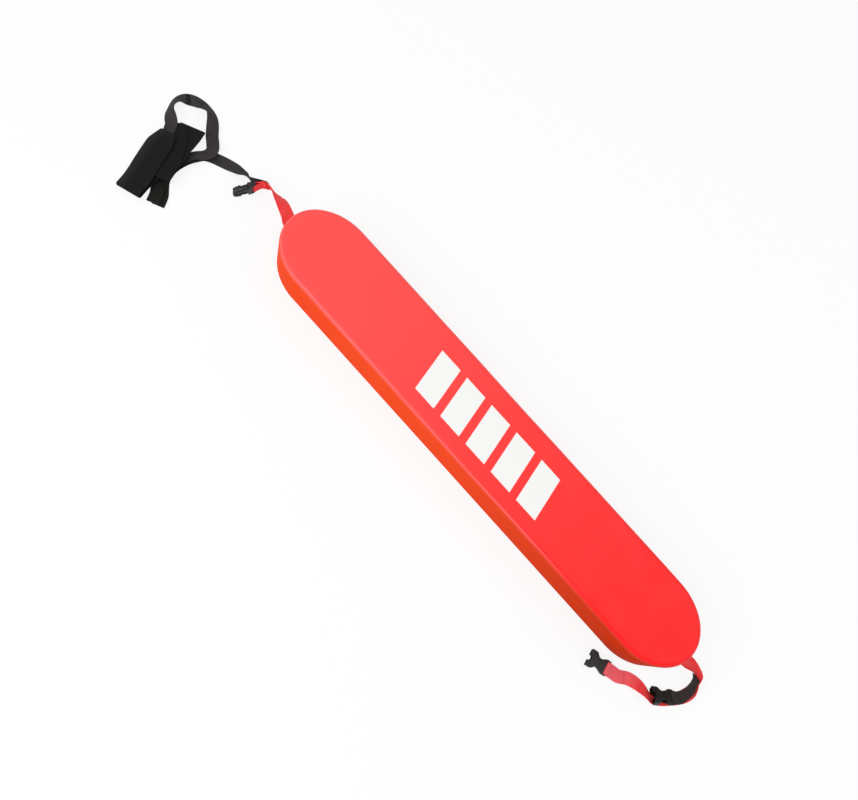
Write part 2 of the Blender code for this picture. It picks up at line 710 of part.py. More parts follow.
# The shoulder strap lies folded on a slant: its left edge is down and its right edge is
# held up by the folds of the tow line. Places in plan, heights in layers above the lowest.
BUNDLE_EDGE = (HEAD_TIP - 258, -172)
BUNDLE_HEADING = 108.4
BUNDLE_SLANT = 13.0
BUNDLE_BASE = 2.1
HEM_BULGE = 3.5 * MM            # of the loosely folded end over the lower layers
PANEL_TOP = beyond(HEAD_TIP, [
    (-274, -42, 3.8), (-270, -56, 3.8), (-263.5, -75, 3.75), (-252, -105, 3.3),
    (-242, -132, 3.05), (-236.5, -148, 3.0), (-231.5, -162, 3.0),
])
PANEL_UNDER = beyond(HEAD_TIP, [
    (-231.5, -162, 0.0), (-236.5, -148, 0.0), (-240, -125, 0.0), (-241, -90, 0.0),
    (-245, -50, 0.0), (-252.7, -18.5, 0.0), (-258, -4, 0.0),
])
INNER_DOWN = beyond(HEAD_TIP, [
    (-258, -4, 1.0), (-252.7, -18.5, 1.0), (-243, -48, 1.0), (-233, -77.5, 1.0),
    (-226, -97, 1.0), (-220, -113, 1.0),
])
INNER_UP = beyond(HEAD_TIP, [
    (-220, -113, 2.0), (-226, -97, 2.0), (-235, -77.5, 2.0), (-255, -50, 2.0),
    (-273, -30, 2.0), (-281.5, -16, 2.0),
])


def slant_normal():
    """The face direction of the folded shoulder strap."""
    along = heading_vector(BUNDLE_HEADING)
    return (Matrix.Rotation(math.radians(-BUNDLE_SLANT), 3, along) @ UP).normalized()


def slant_height(x, y):
    """Height in millimetres of the strap's lowest layer over a place in plan."""
    along = heading_vector(BUNDLE_HEADING)
    aside = (x - BUNDLE_EDGE[0]) * along.y - (y - BUNDLE_EDGE[1]) * along.x
    return BUNDLE_BASE + aside * math.tan(math.radians(BUNDLE_SLANT))


def stacked(route, marks, height, shift_start, shift_end, reverse_roll=False):
    """Route points that lie on an earlier stretch of strap, height above it, in millimetres."""
    rows = framed(route.stations(marks))
    points = []
    for i, (mark, (place, side, face)) in enumerate(zip(marks, rows)):
        if marks[0] > marks[-1]:
            face = -face
        shift = ease(shift_start, shift_end, 1, len(marks) - 2, i)
        spot = (place + face * height + side * shift * MM) / MM
        roll = float(np.interp(mark, route.marks, route.rows[:, 3]))
        points.append((spot.x, spot.y, spot.z, -roll if reverse_roll else roll))
    return points


def join_runs(runs, bulges):
    """Joins stacked runs of stations by a folded turn between each two."""
    stations = list(runs[0])
    for run, bulge in zip(runs[1:], bulges):
        stations += hairpin(stations, run, bulge) + list(run)
    return stations


def make_tow_line(head):
    """Black webbing from the plug's loop, folded to and fro, then a free loop to the strap."""
    layer = WEB_THICKNESS + LAYER_GAP
    pitch = layer + 0.1 * MM        # a little more room, as the folds also turn aside
    marks = [head.length - value for value in TOW_SEWN_FROM_BAR]
    first = Route(sewn_beside(head, marks, 1.5 * layer) + TOW_ROUTE)
    end = first.length
    runs = [first.stations(first.even(0.0, end))]

    fold = end - TOW_FOLD
    back_shift, forth_shift = TOW_FOLD_SHIFTS
    back = Route(stacked(first, first.even(end, fold, TOW_STACK_STEP), pitch, 0, back_shift, True))
    runs.append(back.stations(back.even(0.0, back.length), turned=True))
    forth = Route(stacked(first, first.even(fold, end, TOW_STACK_STEP), 2 * pitch, back_shift, forth_shift))
    runs.append(forth.stations(forth.even(0.0, forth.length)))
    leave = nearest_mark(first, TOW_LEAVES_STACK)
    home = stacked(first, first.even(end, leave, TOW_STACK_STEP), 3 * pitch, forth_shift, 0, True)
    tuck = []
    for x, y in TOW_TUCK:
        lift = slant_normal() * (2.5 * STRAP_THICKNESS + 3 * LAYER_GAP + WEB_THICKNESS / 2) / MM
        tuck.append((x + lift.x, y + lift.y, slant_height(x, y) + lift.z, BUNDLE_SLANT))
    loop = Route(home + TOW_LOOP_ROUTE + tuck)
    runs.append(loop.stations(loop.even(0.0, loop.length), turned=True))
    stations = join_runs(runs, [None] * 3)
    ribbon("tow_line", stations, WEB_WIDTH, WEB_THICKNESS, "webbing_black")
    length = first.length + back.length + forth.length + loop.length
    print("tow line length mm", round(length / MM))
    print("tow line least self gap mm",
          round(least_self_gap(stations, WEB_WIDTH, WEB_THICKNESS, 15 * MM) / MM, 2))


def make_shoulder_strap():
    """The wide shoulder strap, a closed band folded in four with both ends at the tow line."""
    pitch = (STRAP_THICKNESS + LAYER_GAP) / MM
    normal = slant_normal()
    runs = []
    length = 0.0
    plans = ((False, PANEL_TOP), (True, PANEL_UNDER), (False, INNER_DOWN), (True, INNER_UP))
    for turned, plan in plans:
        points = []
        for x, y, level in plan:
            spot = Vector((x, y, slant_height(x, y))) + normal * level * pitch
            points.append((spot.x, spot.y, spot.z, 0.0))
        run = Route(points, up=normal)
        length += run.length
        runs.append(run.stations(run.even(0.0, run.length, 12 * MM), turned))
    stations = join_runs(runs, [HEM_BULGE, None, None])
    ribbon("shoulder_strap", stations, STRAP_WIDTH, STRAP_THICKNESS, "webbing_black",
           STRAP_TAPER, STRAP_END_WIDTH)
    print("shoulder strap length mm", round(length / MM))
    print("shoulder strap least self gap mm",
          round(least_self_gap(stations, STRAP_WIDTH, STRAP_THICKNESS, 20 * MM) / MM, 2))


def main():
    clear_scene()
    make_float()
    head, foot = make_through_webbing()
    make_carrier(foot)
    make_tow_line(head)
    make_shoulder_strap()
    make_socket("near_socket", NEAR_BAR, NEAR_HEADING, NEAR_ROLL)
    make_socket("far_socket", FAR_BAR, FAR_HEADING, 0.0)
    make_plug()


main()
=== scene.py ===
import math

import bmesh
import bpy
import numpy as np
from mathutils import Matrix, Vector


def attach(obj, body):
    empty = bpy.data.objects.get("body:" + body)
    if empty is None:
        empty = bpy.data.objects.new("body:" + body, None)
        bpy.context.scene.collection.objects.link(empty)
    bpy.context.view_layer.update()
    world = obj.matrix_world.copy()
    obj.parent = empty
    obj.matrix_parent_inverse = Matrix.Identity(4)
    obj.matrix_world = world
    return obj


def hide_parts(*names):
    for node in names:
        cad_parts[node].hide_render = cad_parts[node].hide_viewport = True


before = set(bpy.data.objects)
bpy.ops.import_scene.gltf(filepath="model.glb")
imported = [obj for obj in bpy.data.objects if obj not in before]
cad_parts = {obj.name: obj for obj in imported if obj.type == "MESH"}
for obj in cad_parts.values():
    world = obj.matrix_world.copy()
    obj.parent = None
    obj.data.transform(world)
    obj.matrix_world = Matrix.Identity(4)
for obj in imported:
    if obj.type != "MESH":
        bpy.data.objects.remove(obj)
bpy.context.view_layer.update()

# View: the photograph looks steeply down on the float from beside its straps, with the
# float's foot end towards the lower right. One normal lens, no shift.
MM = 0.001
camera_data = bpy.data.cameras.new("view")
camera_data.lens = 36.3
camera_data.sensor_width = 36.0
camera_data.clip_end = 50.0
camera = bpy.data.objects.new("view", camera_data)
bpy.context.scene.collection.objects.link(camera)
turned = (
    Matrix.Rotation(-1.448679, 4, "Z")
    @ Matrix.Rotation(0.325092, 4, "Y")
    @ Matrix.Rotation(2.290970, 4, "Z")
)
camera.matrix_world = Matrix.Translation((-0.053362, -0.498977, 1.457109)) @ turned
bpy.context.scene.camera = camera
bpy.context.scene.view_settings.view_transform = "Standard"


# Studio: a pale floor and three soft lamps. The floor shows white to the camera and keeps
# a weak shadow of the float.
FLOOR_SIZE = 30
FLOOR_DROP = 0.2 * MM
FLOOR_TONE = (0.90, 0.90, 0.90, 1)
FLOOR_WHITE = 0.85
WORLD_LIGHT = 0.60


def new_material(name):
    """An empty node material: returns it, its nodes and its shader."""
    made = bpy.data.materials.new(name)
    made.use_nodes = True
    nodes = made.node_tree.nodes
    return made, nodes, nodes["Principled BSDF"]


def feed(node, inputs):
    """Sets a node's inputs by their keys, or links them where the value is a socket."""
    for key, value in inputs.items():
        if isinstance(value, bpy.types.NodeSocket):
            node.id_data.links.new(value, node.inputs[key])
        else:
            node.inputs[key].default_value = value
    return node


def fed(kind, inputs, **settings):
    """Adds a node beside the first socket among its inputs, and feeds it."""
    beside = next(value for value in inputs.values() if isinstance(value, bpy.types.NodeSocket))
    made = beside.id_data.nodes.new("ShaderNode" + kind)
    for name, setting in settings.items():
        setattr(made, name, setting)
    return feed(made, inputs)


def calculate(operation, *values):
    """One Math node on sockets or numbers."""
    return fed("Math", dict(enumerate(values)), operation=operation).outputs[0]


def seen_rays(nodes):
    """One for the rays that show a background: straight, mirrored or through glass."""
    rays = nodes.new("ShaderNodeLightPath").outputs
    total = calculate("ADD", rays["Is Camera Ray"], rays["Is Glossy Ray"])
    return calculate("ADD", total, rays["Is Transmission Ray"])


def soft_lamp(name, place, aim, size, power, colour):
    """A square softbox at place that looks at aim."""
    lamp = bpy.data.lights.new(name, "AREA")
    lamp.shape = "SQUARE"
    lamp.size = size
    lamp.energy = power
    lamp.color = colour
    holder = bpy.data.objects.new(name, lamp)
    bpy.context.scene.collection.objects.link(holder)
    look = (Vector(aim) - Vector(place)).to_track_quat("-Z", "Y")
    holder.matrix_world = Matrix.Translation(place) @ look.to_matrix().to_4x4()


bpy.ops.mesh.primitive_plane_add(size=FLOOR_SIZE, location=(0, 0, -FLOOR_DROP))
floor = bpy.context.active_object
floor.name = "floor"
paint, nodes, shader = new_material("studio_floor")
feed(shader, {"Base Color": FLOOR_TONE, "Roughness": 0.9, "Specular IOR Level": 0.1})
glow = nodes.new("ShaderNodeEmission")
share = fed("MapRange", {"Value": seen_rays(nodes), "To Max": FLOOR_WHITE}).outputs[0]
mixed = fed("MixShader", {0: share, 1: shader.outputs[0], 2: glow.outputs[0]})
feed(nodes["Material Output"], {"Surface": mixed.outputs[0]})
floor.data.materials.append(paint)

world = bpy.data.worlds.new("studio")
bpy.context.scene.world = world
world.use_nodes = True
nodes = world.node_tree.nodes
level = fed("MapRange", {"Value": seen_rays(nodes), "To Min": WORLD_LIGHT}).outputs[0]
feed(nodes["Background"], {"Color": (1, 1, 1, 1), "Strength": level})

soft_lamp("key", (-0.9, -1.5, 2.0), (0, 0, 0), 1.6, 30, (1.0, 0.99, 0.97))
soft_lamp("fill", (1.3, 1.2, 2.2), (0, 0, 0), 2.0, 16, (1.0, 1.0, 1.0))
soft_lamp("low", (-0.2, -2.2, 0.7), (0, 0, 0.05), 1.2, 4, (1.0, 0.97, 0.94))

# Float: two sheets of closed-cell foam laminated over the webbing and dipped in red vinyl.
# The dipped skin is smooth and a little glossy, with soft corners all round, and it has
# a slit at each end where the webbing comes out.
FLOAT_LENGTH = 1000 * MM
FLOAT_WIDTH = 152 * MM
FLOAT_HEIGHT = 90 * MM
END_LENGTH = 95 * MM
END_SIDES = 160
EDGE_RADIUS = 9 * MM
EDGE_STEPS = 8
SLIT = (23.6 * MM, 2.1 * MM)
TINY = 1e-6
CROSS_CUTS = 37
LONG_CUTS = (-50, -25, 0, 25, 50)
WAVE_SIZE = 0.16
WAVE_HEIGHT = 1.6 * MM
# Painted light and shade: the upper face's reds run from a painted glare at the head end to plain
# red at the foot end, and the side wall's reds are painted shade that darkens towards the foot end.
TOP_REDS_PAINTED_GLARE = (0.98, 0.088, 0.083), (0.97, 0.008, 0.009)
SIDE_REDS_PAINTED_SHADE = (0.84, 0.073, 0.017), (0.53, 0.033, 0.004)
CLOUD_RED = (0.80, 0.03, 0.03)
# The colour of a painted highlight along the rounded upper edge.
EDGE_HIGHLIGHT_RED = (1.0, 0.17, 0.17)
PRINT_WHITE = (0.88, 0.88, 0.87)
PRINT_START = -150 * MM
PRINT_SIDES = (-46 * MM, 36 * MM)
PRINT_BARS = 5
PRINT_PITCH = 62.4 * MM
PRINT_BAR = 46 * MM
PRINT_SLANT = 0.22
PRINT_EDGE = 0.5 * MM
PRINT_WEAR = 1.2 * MM


def pick(thing):
    """Makes a piece the only one selected, and the active one."""
    bpy.ops.object.select_all(action="DESELECT")
    thing.select_set(True)
    bpy.context.view_layer.objects.active = thing


def edit(thing):
    """Opens the mesh of a piece for editing."""
    pick(thing)
    bpy.ops.object.mode_set(mode="EDIT")


def close():
    """Ends the editing of a mesh."""
    bpy.ops.object.mode_set(mode="OBJECT")


def shade(thing, degrees):
    """Shades a piece smooth, but for edges sharper than an angle."""
    pick(thing)
    bpy.ops.object.shade_smooth_by_angle(angle=math.radians(degrees))


def choose(thing, kind, wanted):
    """Selects the parts of a mesh in edit mode by a test on them."""
    bpy.ops.mesh.select_all(action="DESELECT")
    bpy.ops.mesh.select_mode(type={"verts": "VERT", "edges": "EDGE", "faces": "FACE"}[kind])
    mesh = bmesh.from_edit_mesh(thing.data)
    for element in getattr(mesh, kind):
        if wanted(element):
            element.select_set(True)
    mesh.select_flush_mode()
    bmesh.update_edit_mesh(thing.data)


def draw_out(thing, axis, reach):
    """Pulls the two halves of a mesh apart along an axis, reach each way."""
    for way in (1, -1):
        edit(thing)
        choose(thing, "verts", lambda v: v.co[axis] * way > TINY)
        bpy.ops.transform.translate(value=[way * reach if i == axis else 0 for i in range(3)])
        close()


def slice_across(place, normal):
    """Cuts the faces of the mesh in edit mode where a plane crosses them."""
    bpy.ops.mesh.select_all(action="SELECT")
    bpy.ops.mesh.bisect(plane_co=place, plane_no=normal)


def combine(thing, tool, operation):
    """Works a tool into a piece and clears the tool away."""
    change = thing.modifiers.new("cut", "BOOLEAN")
    change.operation = operation
    change.solver = "EXACT"
    change.object = tool
    bpy.context.view_layer.objects.active = thing
    bpy.ops.object.modifier_apply(modifier=change.name)
    bpy.data.objects.remove(tool, do_unlink=True)


def cut_away(thing, tool):
    """Cuts a tool out of a piece."""
    combine(thing, tool, "DIFFERENCE")


def settled(name):
    """Names the piece just made, and works its place, turn and scale into its mesh."""
    made = bpy.context.active_object
    made.name = name
    bpy.ops.object.transform_apply()
    return made


def block(name, low, high):
    """A plain block between two corners."""
    middle = [(a + b) / 2 for a, b in zip(low, high)]
    bpy.ops.mesh.primitive_cube_add(size=1, location=middle)
    bpy.context.active_object.scale = [b - a for a, b in zip(low, high)]
    return settled(name)


bpy.ops.mesh.primitive_circle_add(
    vertices=END_SIDES, radius=FLOAT_WIDTH / 2, fill_type="NGON",
    rotation=(0, 0, math.pi / END_SIDES),
)
bpy.context.active_object.scale.x = END_LENGTH / (FLOAT_WIDTH / 2)
float_skin = settled("float_skin")
straight = FLOAT_LENGTH / 2 - END_LENGTH
draw_out(float_skin, 0, straight)
edit(float_skin)
bpy.ops.mesh.select_all(action="SELECT")
bpy.ops.mesh.extrude_region_move(TRANSFORM_OT_translate={"value": (0, 0, FLOAT_HEIGHT)})
bpy.ops.mesh.select_all(action="SELECT")
bpy.ops.mesh.normals_make_consistent(inside=False)
choose(float_skin, "edges", lambda e: abs(e.verts[0].co.z - e.verts[1].co.z) < TINY)
bpy.ops.mesh.bevel(offset=EDGE_RADIUS, segments=EDGE_STEPS, profile=0.5, affect="EDGES")
for x in np.linspace(-straight, straight, CROSS_CUTS):
    slice_across((float(x), 0, 0), (1, 0, 0))
for y in LONG_CUTS:
    slice_across((0, y * MM, 0), (0, 1, 0))
close()

# The foam gives a little, so the upper skin isn't a dead flat plane.
upper = float_skin.vertex_groups.new(name="upper")
raised = [v.index for v in float_skin.data.vertices if v.co.z > 0.5 * FLOAT_HEIGHT]
upper.add(raised, 1.0, "REPLACE")
clouds = bpy.data.textures.new("foam_waviness", "CLOUDS")
clouds.noise_scale = WAVE_SIZE
swell = float_skin.modifiers.new("swell", "DISPLACE")
swell.texture = clouds
swell.texture_coords = "LOCAL"
swell.strength = WAVE_HEIGHT
swell.mid_level = 0.5
swell.vertex_group = "upper"
bpy.context.view_layer.objects.active = float_skin
bpy.ops.object.modifier_apply(modifier="swell")
middle = FLOAT_HEIGHT / 2
reach = FLOAT_LENGTH / 2 + 5 * MM
low = (-reach, -SLIT[0] / 2, middle - SLIT[1] / 2)
high = (reach, SLIT[0] / 2, middle + SLIT[1] / 2)
cut_away(float_skin, block("webbing_slot", low, high))
shade(float_skin, 35)


def noise(vector, scale, detail=3.0, roughness=0.5):
    """The share of a noise texture at a place."""
    inputs = {"Vector": vector, "Scale": scale, "Detail": detail, "Roughness": roughness}
    return fed("TexNoise", inputs).outputs["Fac"]


def spread(value, low, high, to_low=0, to_high=1):
    """A smooth step: to_low where value is at low or before it, to_high from high on."""
    inputs = dict(zip(("From Min", "From Max", "To Min", "To Max"), (low, high, to_low, to_high)))
    inputs["Value"] = value
    return fed("MapRange", inputs, interpolation_type="SMOOTHSTEP").outputs["Result"]


def blended(share, *sides):
    """A colour Mix node; each of the two sides is a colour or a socket."""
    first, second = ((*side, 1) if isinstance(side, tuple) else side for side in sides)
    return fed("Mix", {0: share, 6: first, 7: second}, data_type="RGBA").outputs[2]


def bumped(shader, height, distance, strength=1.0, under=None):
    """A Bump node on the shader's normal, over another one if given."""
    inputs = {"Height": height, "Distance": distance, "Strength": strength}
    if under is not None:
        inputs["Normal"] = under
    normal = fed("Bump", inputs).outputs[0]
    feed(shader, {"Normal": normal})
    return normal


def dress(piece, material, body, nodes_replaced):
    """Gives a finished piece its material and says which body and nodes it belongs to."""
    piece.data.materials.clear()
    piece.data.materials.append(material)
    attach(piece, body)
    if nodes_replaced:
        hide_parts(*nodes_replaced)


# The vinyl's colour holds painted light and shade: painted glare pales the upper face towards
# the head end, painted shade darkens the side wall and the foot end, and a painted highlight runs
# along the rounded upper edge away from the foot end.
vinyl, nodes, shader = new_material("dipped_vinyl")
place = nodes.new("ShaderNodeTexCoord").outputs["Object"]
x, y, z = fed("SeparateXYZ", {0: place}).outputs
fine = noise(place, 420.0, 2.0)
# Painted glare pales the upper face towards the head end, and painted shade darkens the side wall,
# more so towards the foot end.
top_red_painted_glare = blended(spread(x, -0.5, 0.5), *TOP_REDS_PAINTED_GLARE)
side_red_painted_shade = blended(spread(x, -0.1, 0.5), *SIDE_REDS_PAINTED_SHADE)
# The side wall takes the painted shade colour and the upper face takes the painted glare colour.
red = blended(spread(z, 0.0825, 0.0885), side_red_painted_shade, top_red_painted_glare)
red = blended(spread(noise(place, 6.0, 2.0), 0.3, 0.75, 0, 0.10), red, CLOUD_RED)
# Painted highlight: a narrow pale line along the rounded upper edge, fading out towards the foot
# end.
painted_edge_highlight = calculate("MULTIPLY", spread(z, 0.0850, 0.0872, 0, 0.6), spread(z, 0.0890, 0.0876))
painted_edge_highlight = calculate("MULTIPLY", painted_edge_highlight, spread(x, 0.35, 0.10))
red = blended(painted_edge_highlight, red, EDGE_HIGHLIGHT_RED)

# The print: plain slanted bars in a row along the middle of the upper face.
along = calculate("ADD", x, calculate("MULTIPLY", y, PRINT_SLANT))
along = calculate("SUBTRACT", along, PRINT_START)
wear = calculate("MULTIPLY", calculate("SUBTRACT", fine, 0.5), PRINT_WEAR)
step = calculate("ADD", calculate("MODULO", along, PRINT_PITCH), wear)
aside = calculate("ADD", y, wear)
ink = spread(step, PRINT_BAR + PRINT_EDGE, PRINT_BAR)
for value, outside, inside in (
    (step, 0, PRINT_EDGE), (along, 0, PRINT_EDGE),
    (along, PRINT_BARS * PRINT_PITCH, PRINT_BARS * PRINT_PITCH - PRINT_EDGE),
    (aside, PRINT_SIDES[0], PRINT_SIDES[0] + PRINT_EDGE),
    (aside, PRINT_SIDES[1], PRINT_SIDES[1] - PRINT_EDGE), (z, 0.084, 0.086),
):
    ink = calculate("MULTIPLY", ink, spread(value, outside, inside))
gloss = spread(noise(place, 30.0, 4.0, 0.6), 0.3, 0.7, 0.30, 0.42)
feed(shader, {
    "Base Color": blended(ink, red, PRINT_WHITE),
    "Roughness": calculate("ADD", gloss, calculate("MULTIPLY", ink, 0.12)),
    "Specular IOR Level": spread(z, 0.080, 0.088, 0.001, 0.20),
})

# Its surface: soft unevenness, fine grain, the join of the two sheets and the raised ink.
from_join = calculate("ABSOLUTE", calculate("SUBTRACT", z, FLOAT_HEIGHT / 2))
under = bumped(shader, noise(place, 14.0, 3.0), 1.6 * MM, 0.5)
under = bumped(shader, fine, 0.12 * MM, 0.6, under)
under = bumped(shader, spread(from_join, 0.0002, 0.0016), 0.25 * MM, 0.7, under)
bumped(shader, ink, 0.06 * MM, 1.0, under)
dress(float_skin, vinyl, "float", ["vinyl_skin", "foam_core_upper", "foam_core_lower"])

# Through webbing: one red strap, 23 mm wide, laminated in the middle of the foam. Its head
# end is looped round the plug's bar and its foot end round the far socket's bar, and both
# loops are sewn shut.
WEB_WIDTH = 23 * MM
WEB_THICKNESS = 1.5 * MM
CLEARANCE = 0.3 * MM
LAYER_GAP = 0.5 * MM
LOOP_OPENING = 13 * MM
BAR_RADIUS = 2.0 * MM
LOOP_RADIUS = BAR_RADIUS + CLEARANCE + WEB_THICKNESS / 2
UP = Vector((0.0, 0.0, 1.0))
STEP = 2.0 * MM
SPAN_STEPS = 24
HEADING_REACH = 1.2 * MM
FINE_STEP = 1.0 * MM
FINE_LENGTH = 21 * MM
TURN_STEPS = 14
SELVAGE = [(0.5, 0.0), (0.491, 0.62), (0.468, 0.97), (0.42, 1.0), (0.25, 0.93), (0.0, 0.9)]
MELTED = 0.72
UNDER_MAP = 0.2
YARN_LENGTH = 1.7
YARN_WIDTH = 0.78
YARN_GAP = 0.17
PLUG_BAR = (-605.7, 7.9, 15.5)
PLUG_HEADING = -111.0
NEAR_BAR = (547.5, -50.7, 14.6)
NEAR_HEADING = -139.5
NEAR_ROLL = 33.0
FAR_BAR = (434.0, -100.9, 6.5)
FAR_HEADING = -165.5
HEAD_FOLD = 26 * MM
FOOT_FOLD = 36 * MM
HEAD_ROUTE = [
    (-507, 1.5, 44.9, 0), (-517, 7.5, 44.4, 0), (-529.5, 12.6, 43, 4), (-540.6, 17, 40.5, 12),
    (-549.6, 20.4, 37, 24), (-557.6, 22.4, 33.5, 38), (-565.8, 24.8, 30, 52),
    (-575.2, 26.4, 26, 72), (-585, 26.8, 22, 78), (-593, 26, 18.5, 84), (-599.8, 22.2, 16, 90),
]
FOOT_ROUTE = [
    (514.7, 3.7, 43, 12), (528.2, 5.9, 37, 45), (538.5, 7.7, 31, 67), (547.2, 9, 25.5, 80),
    (555, 8.4, 20, 88), (560.5, 4.5, 16.3, 90), (563.8, -2, 14, 88), (566, -11.2, 12, 66),
    (567, -21, 8.8, 34), (564, -33, 6.4, 24), (557, -44, 5.9, 22), (547, -56, 5.9, 22),
    (536, -68, 6.3, 25), (525, -76.6, 7.3, 31), (515, -79.2, 9.4, 45), (506, -78.6, 7.7, 34),
    (496.5, -78.5, 5.7, 22), (485, -80, 3.4, 9), (473, -84, 2.2, 0),
]


class Run:
    """A smooth line through the places where a strap lies, each with the strap's roll."""

    def __init__(self, points, up=UP):
        """Each place is x, y and z in millimetres and the roll in degrees."""
        knots = np.array(points, dtype=float)
        chord = np.sqrt(np.linalg.norm(np.diff(knots[:, :3], axis=0), axis=1))
        times = np.concatenate(([0.0], np.cumsum(chord)))
        slopes = np.gradient(knots, times, axis=0)
        rows = []
        for i in range(len(knots) - 1):
            span = times[i + 1] - times[i]
            for u in np.linspace(0.0, 1.0, SPAN_STEPS, endpoint=i == len(knots) - 2):
                rows.append(
                    (2 * u**3 - 3 * u**2 + 1) * knots[i] + (3 * u**2 - 2 * u**3) * knots[i + 1]
                    + (u**3 - 2 * u**2 + u) * span * slopes[i]
                    + (u**3 - u**2) * span * slopes[i + 1]
                )
        self.rows = np.array(rows)
        self.rows[:, :3] *= MM
        steps = np.linalg.norm(np.diff(self.rows[:, :3], axis=0), axis=1)
        self.marks = np.concatenate(([0.0], np.cumsum(steps)))
        self.length = float(self.marks[-1])
        self.up = up

    def point(self, mark):
        """The place at a mark, which is a length along the line."""
        return Vector([float(np.interp(mark, self.marks, self.rows[:, k])) for k in range(3)])

    def heading(self, mark):
        """The direction of the line at a mark."""
        ahead = self.point(min(mark + HEADING_REACH, self.length))
        return (ahead - self.point(max(mark - HEADING_REACH, 0.0))).normalized()

    def roll(self, mark):
        """The strap's roll at a mark, in degrees."""
        return float(np.interp(mark, self.marks, self.rows[:, 3]))

    def stations(self, marks, turned=False):
        """A point and the strap's width direction at each mark."""
        result = []
        for mark in marks:
            heading = self.heading(mark)
            left = self.up.cross(heading).normalized()
            across = Matrix.Rotation(math.radians(self.roll(mark)), 3, heading) @ left
            result.append((self.point(mark), -across if turned else across))
        return result

    def frame(self, mark):
        """The point, width direction and face direction at a mark."""
        return framed(self.stations([mark - 1 * MM, mark, mark + 1 * MM]))[1]

    def even(self, start, end, step=STEP):
        """Marks in even steps from start to end."""
        count = max(1, round(abs(end - start) / step))
        return [start + (end - start) * i / count for i in range(count + 1)]

    def nearest(self, place):
        """The mark where the strap passes nearest to a place in millimetres."""
        away = np.linalg.norm(self.rows[:, :3] / MM - np.array(place), axis=1)
        return float(self.marks[int(np.argmin(away))])


def framed(stations):
    """Each station's point, width direction and face direction, square to each other."""
    result = []
    last = len(stations) - 1
    for i, (point, across) in enumerate(stations):
        heading = (stations[min(i + 1, last)][0] - stations[max(i - 1, 0)][0]).normalized()
        side = (across - heading * across.dot(heading)).normalized()
        result.append((point, side, heading.cross(side)))
    return result


def heading_vector(degrees, drop=0.0):
    """The direction of a heading, falling by drop degrees."""
    turn = math.radians(degrees)
    fall = math.radians(drop)
    level = math.cos(fall)
    return Vector((math.cos(turn) * level, math.sin(turn) * level, -math.sin(fall)))


def approach(bar, heading, drop, lengths, roll):
    """Places that run straight up to a bar, against the heading of its buckle."""
    ahead = heading_vector(heading, drop) * -1.0
    return [(*(Vector(bar) + ahead * length), roll) for length in lengths]


def loop_offset(away, fold):
    """How far a layer lies from the loop's middle line at a distance from the bar."""
    half_gap = (WEB_THICKNESS + LAYER_GAP) / 2
    if away < LOOP_OPENING:
        opened = math.cos(math.pi / 2 * away / LOOP_OPENING) ** 2
        return half_gap + (LOOP_RADIUS - half_gap) * opened
    fade = min(max((away - fold) / (2 * LOOP_OPENING), 0.0), 1.0)
    return half_gap * (0.5 + 0.5 * math.cos(math.pi * fade))


def bar_loop(run, fold, side):
    """A strap that follows a run to a bar, turns round it and is folded back on itself."""
    end = run.length
    marks = run.even(0.0, end - FINE_LENGTH)[:-1] + run.even(end - FINE_LENGTH, end, FINE_STEP)
    rows = framed(run.stations(marks))
    lead = [(p - n * side * loop_offset(end - m, fold), a) for m, (p, a, n) in zip(marks, rows)]
    centre, across, face = rows[-1]
    ahead = run.heading(end)
    turn = []
    for step in range(1, TURN_STEPS):
        angle = math.pi * step / TURN_STEPS
        arm = ahead * math.sin(angle) - face * side * math.cos(angle)
        turn.append((centre + arm * LOOP_RADIUS, across))
    tail = [
        (p + n * side * loop_offset(end - m, fold), a)
        for m, (p, a, n) in zip(marks, rows) if end - m <= fold
    ]
    return lead + turn + tail[::-1]


def woven_strap(name, stations, width, thickness, end_width=None, taper=1.0):
    """A flat woven strap with rounded selvages, and its own map in metres along and across."""
    upper = SELVAGE + [(-a, b) for a, b in reversed(SELVAGE[:-1])]
    ring = upper + [(a, -b) for a, b in reversed(upper[1:-1])]
    rows = framed(stations)
    marks = [0.0]
    for row, following in zip(rows, rows[1:]):
        marks.append(marks[-1] + (following[0] - row[0]).length)
    builder = bmesh.new()
    chart = builder.loops.layers.uv.new("weave")
    lanes = []
    for mark, (point, side, face) in zip(marks, rows):
        here = width
        if end_width:
            here = end_width + (width - end_width) * min(min(mark, marks[-1] - mark) / taper, 1.0)
        melt = MELTED if mark in (marks[0], marks[-1]) else 1.0
        lanes.append([
            builder.verts.new(point + side * (here * a) + face * (thickness / 2 * b * melt))
            for a, b in ring
        ])
    count = len(ring)
    for k in range(len(lanes) - 1):
        for i in range(count):
            j = (i + 1) % count
            face = builder.faces.new((lanes[k][i], lanes[k][j], lanes[k + 1][j], lanes[k + 1][i]))
            spots = ((k, i), (k, j), (k + 1, j), (k + 1, i))
            for loop, (row, lane) in zip(face.loops, spots):
                across, depth = ring[lane]
                loop[chart].uv = (marks[row], across * width + (UNDER_MAP if depth < 0 else 0.0))
    builder.faces.new(list(reversed(lanes[0])))
    builder.faces.new(lanes[-1])
    bmesh.ops.recalc_face_normals(builder, faces=builder.faces)
    mesh = bpy.data.meshes.new(name)
    builder.to_mesh(mesh)
    builder.free()
    made = bpy.data.objects.new(name, mesh)
    bpy.context.scene.collection.objects.link(made)
    shade(made, 50)
    return made


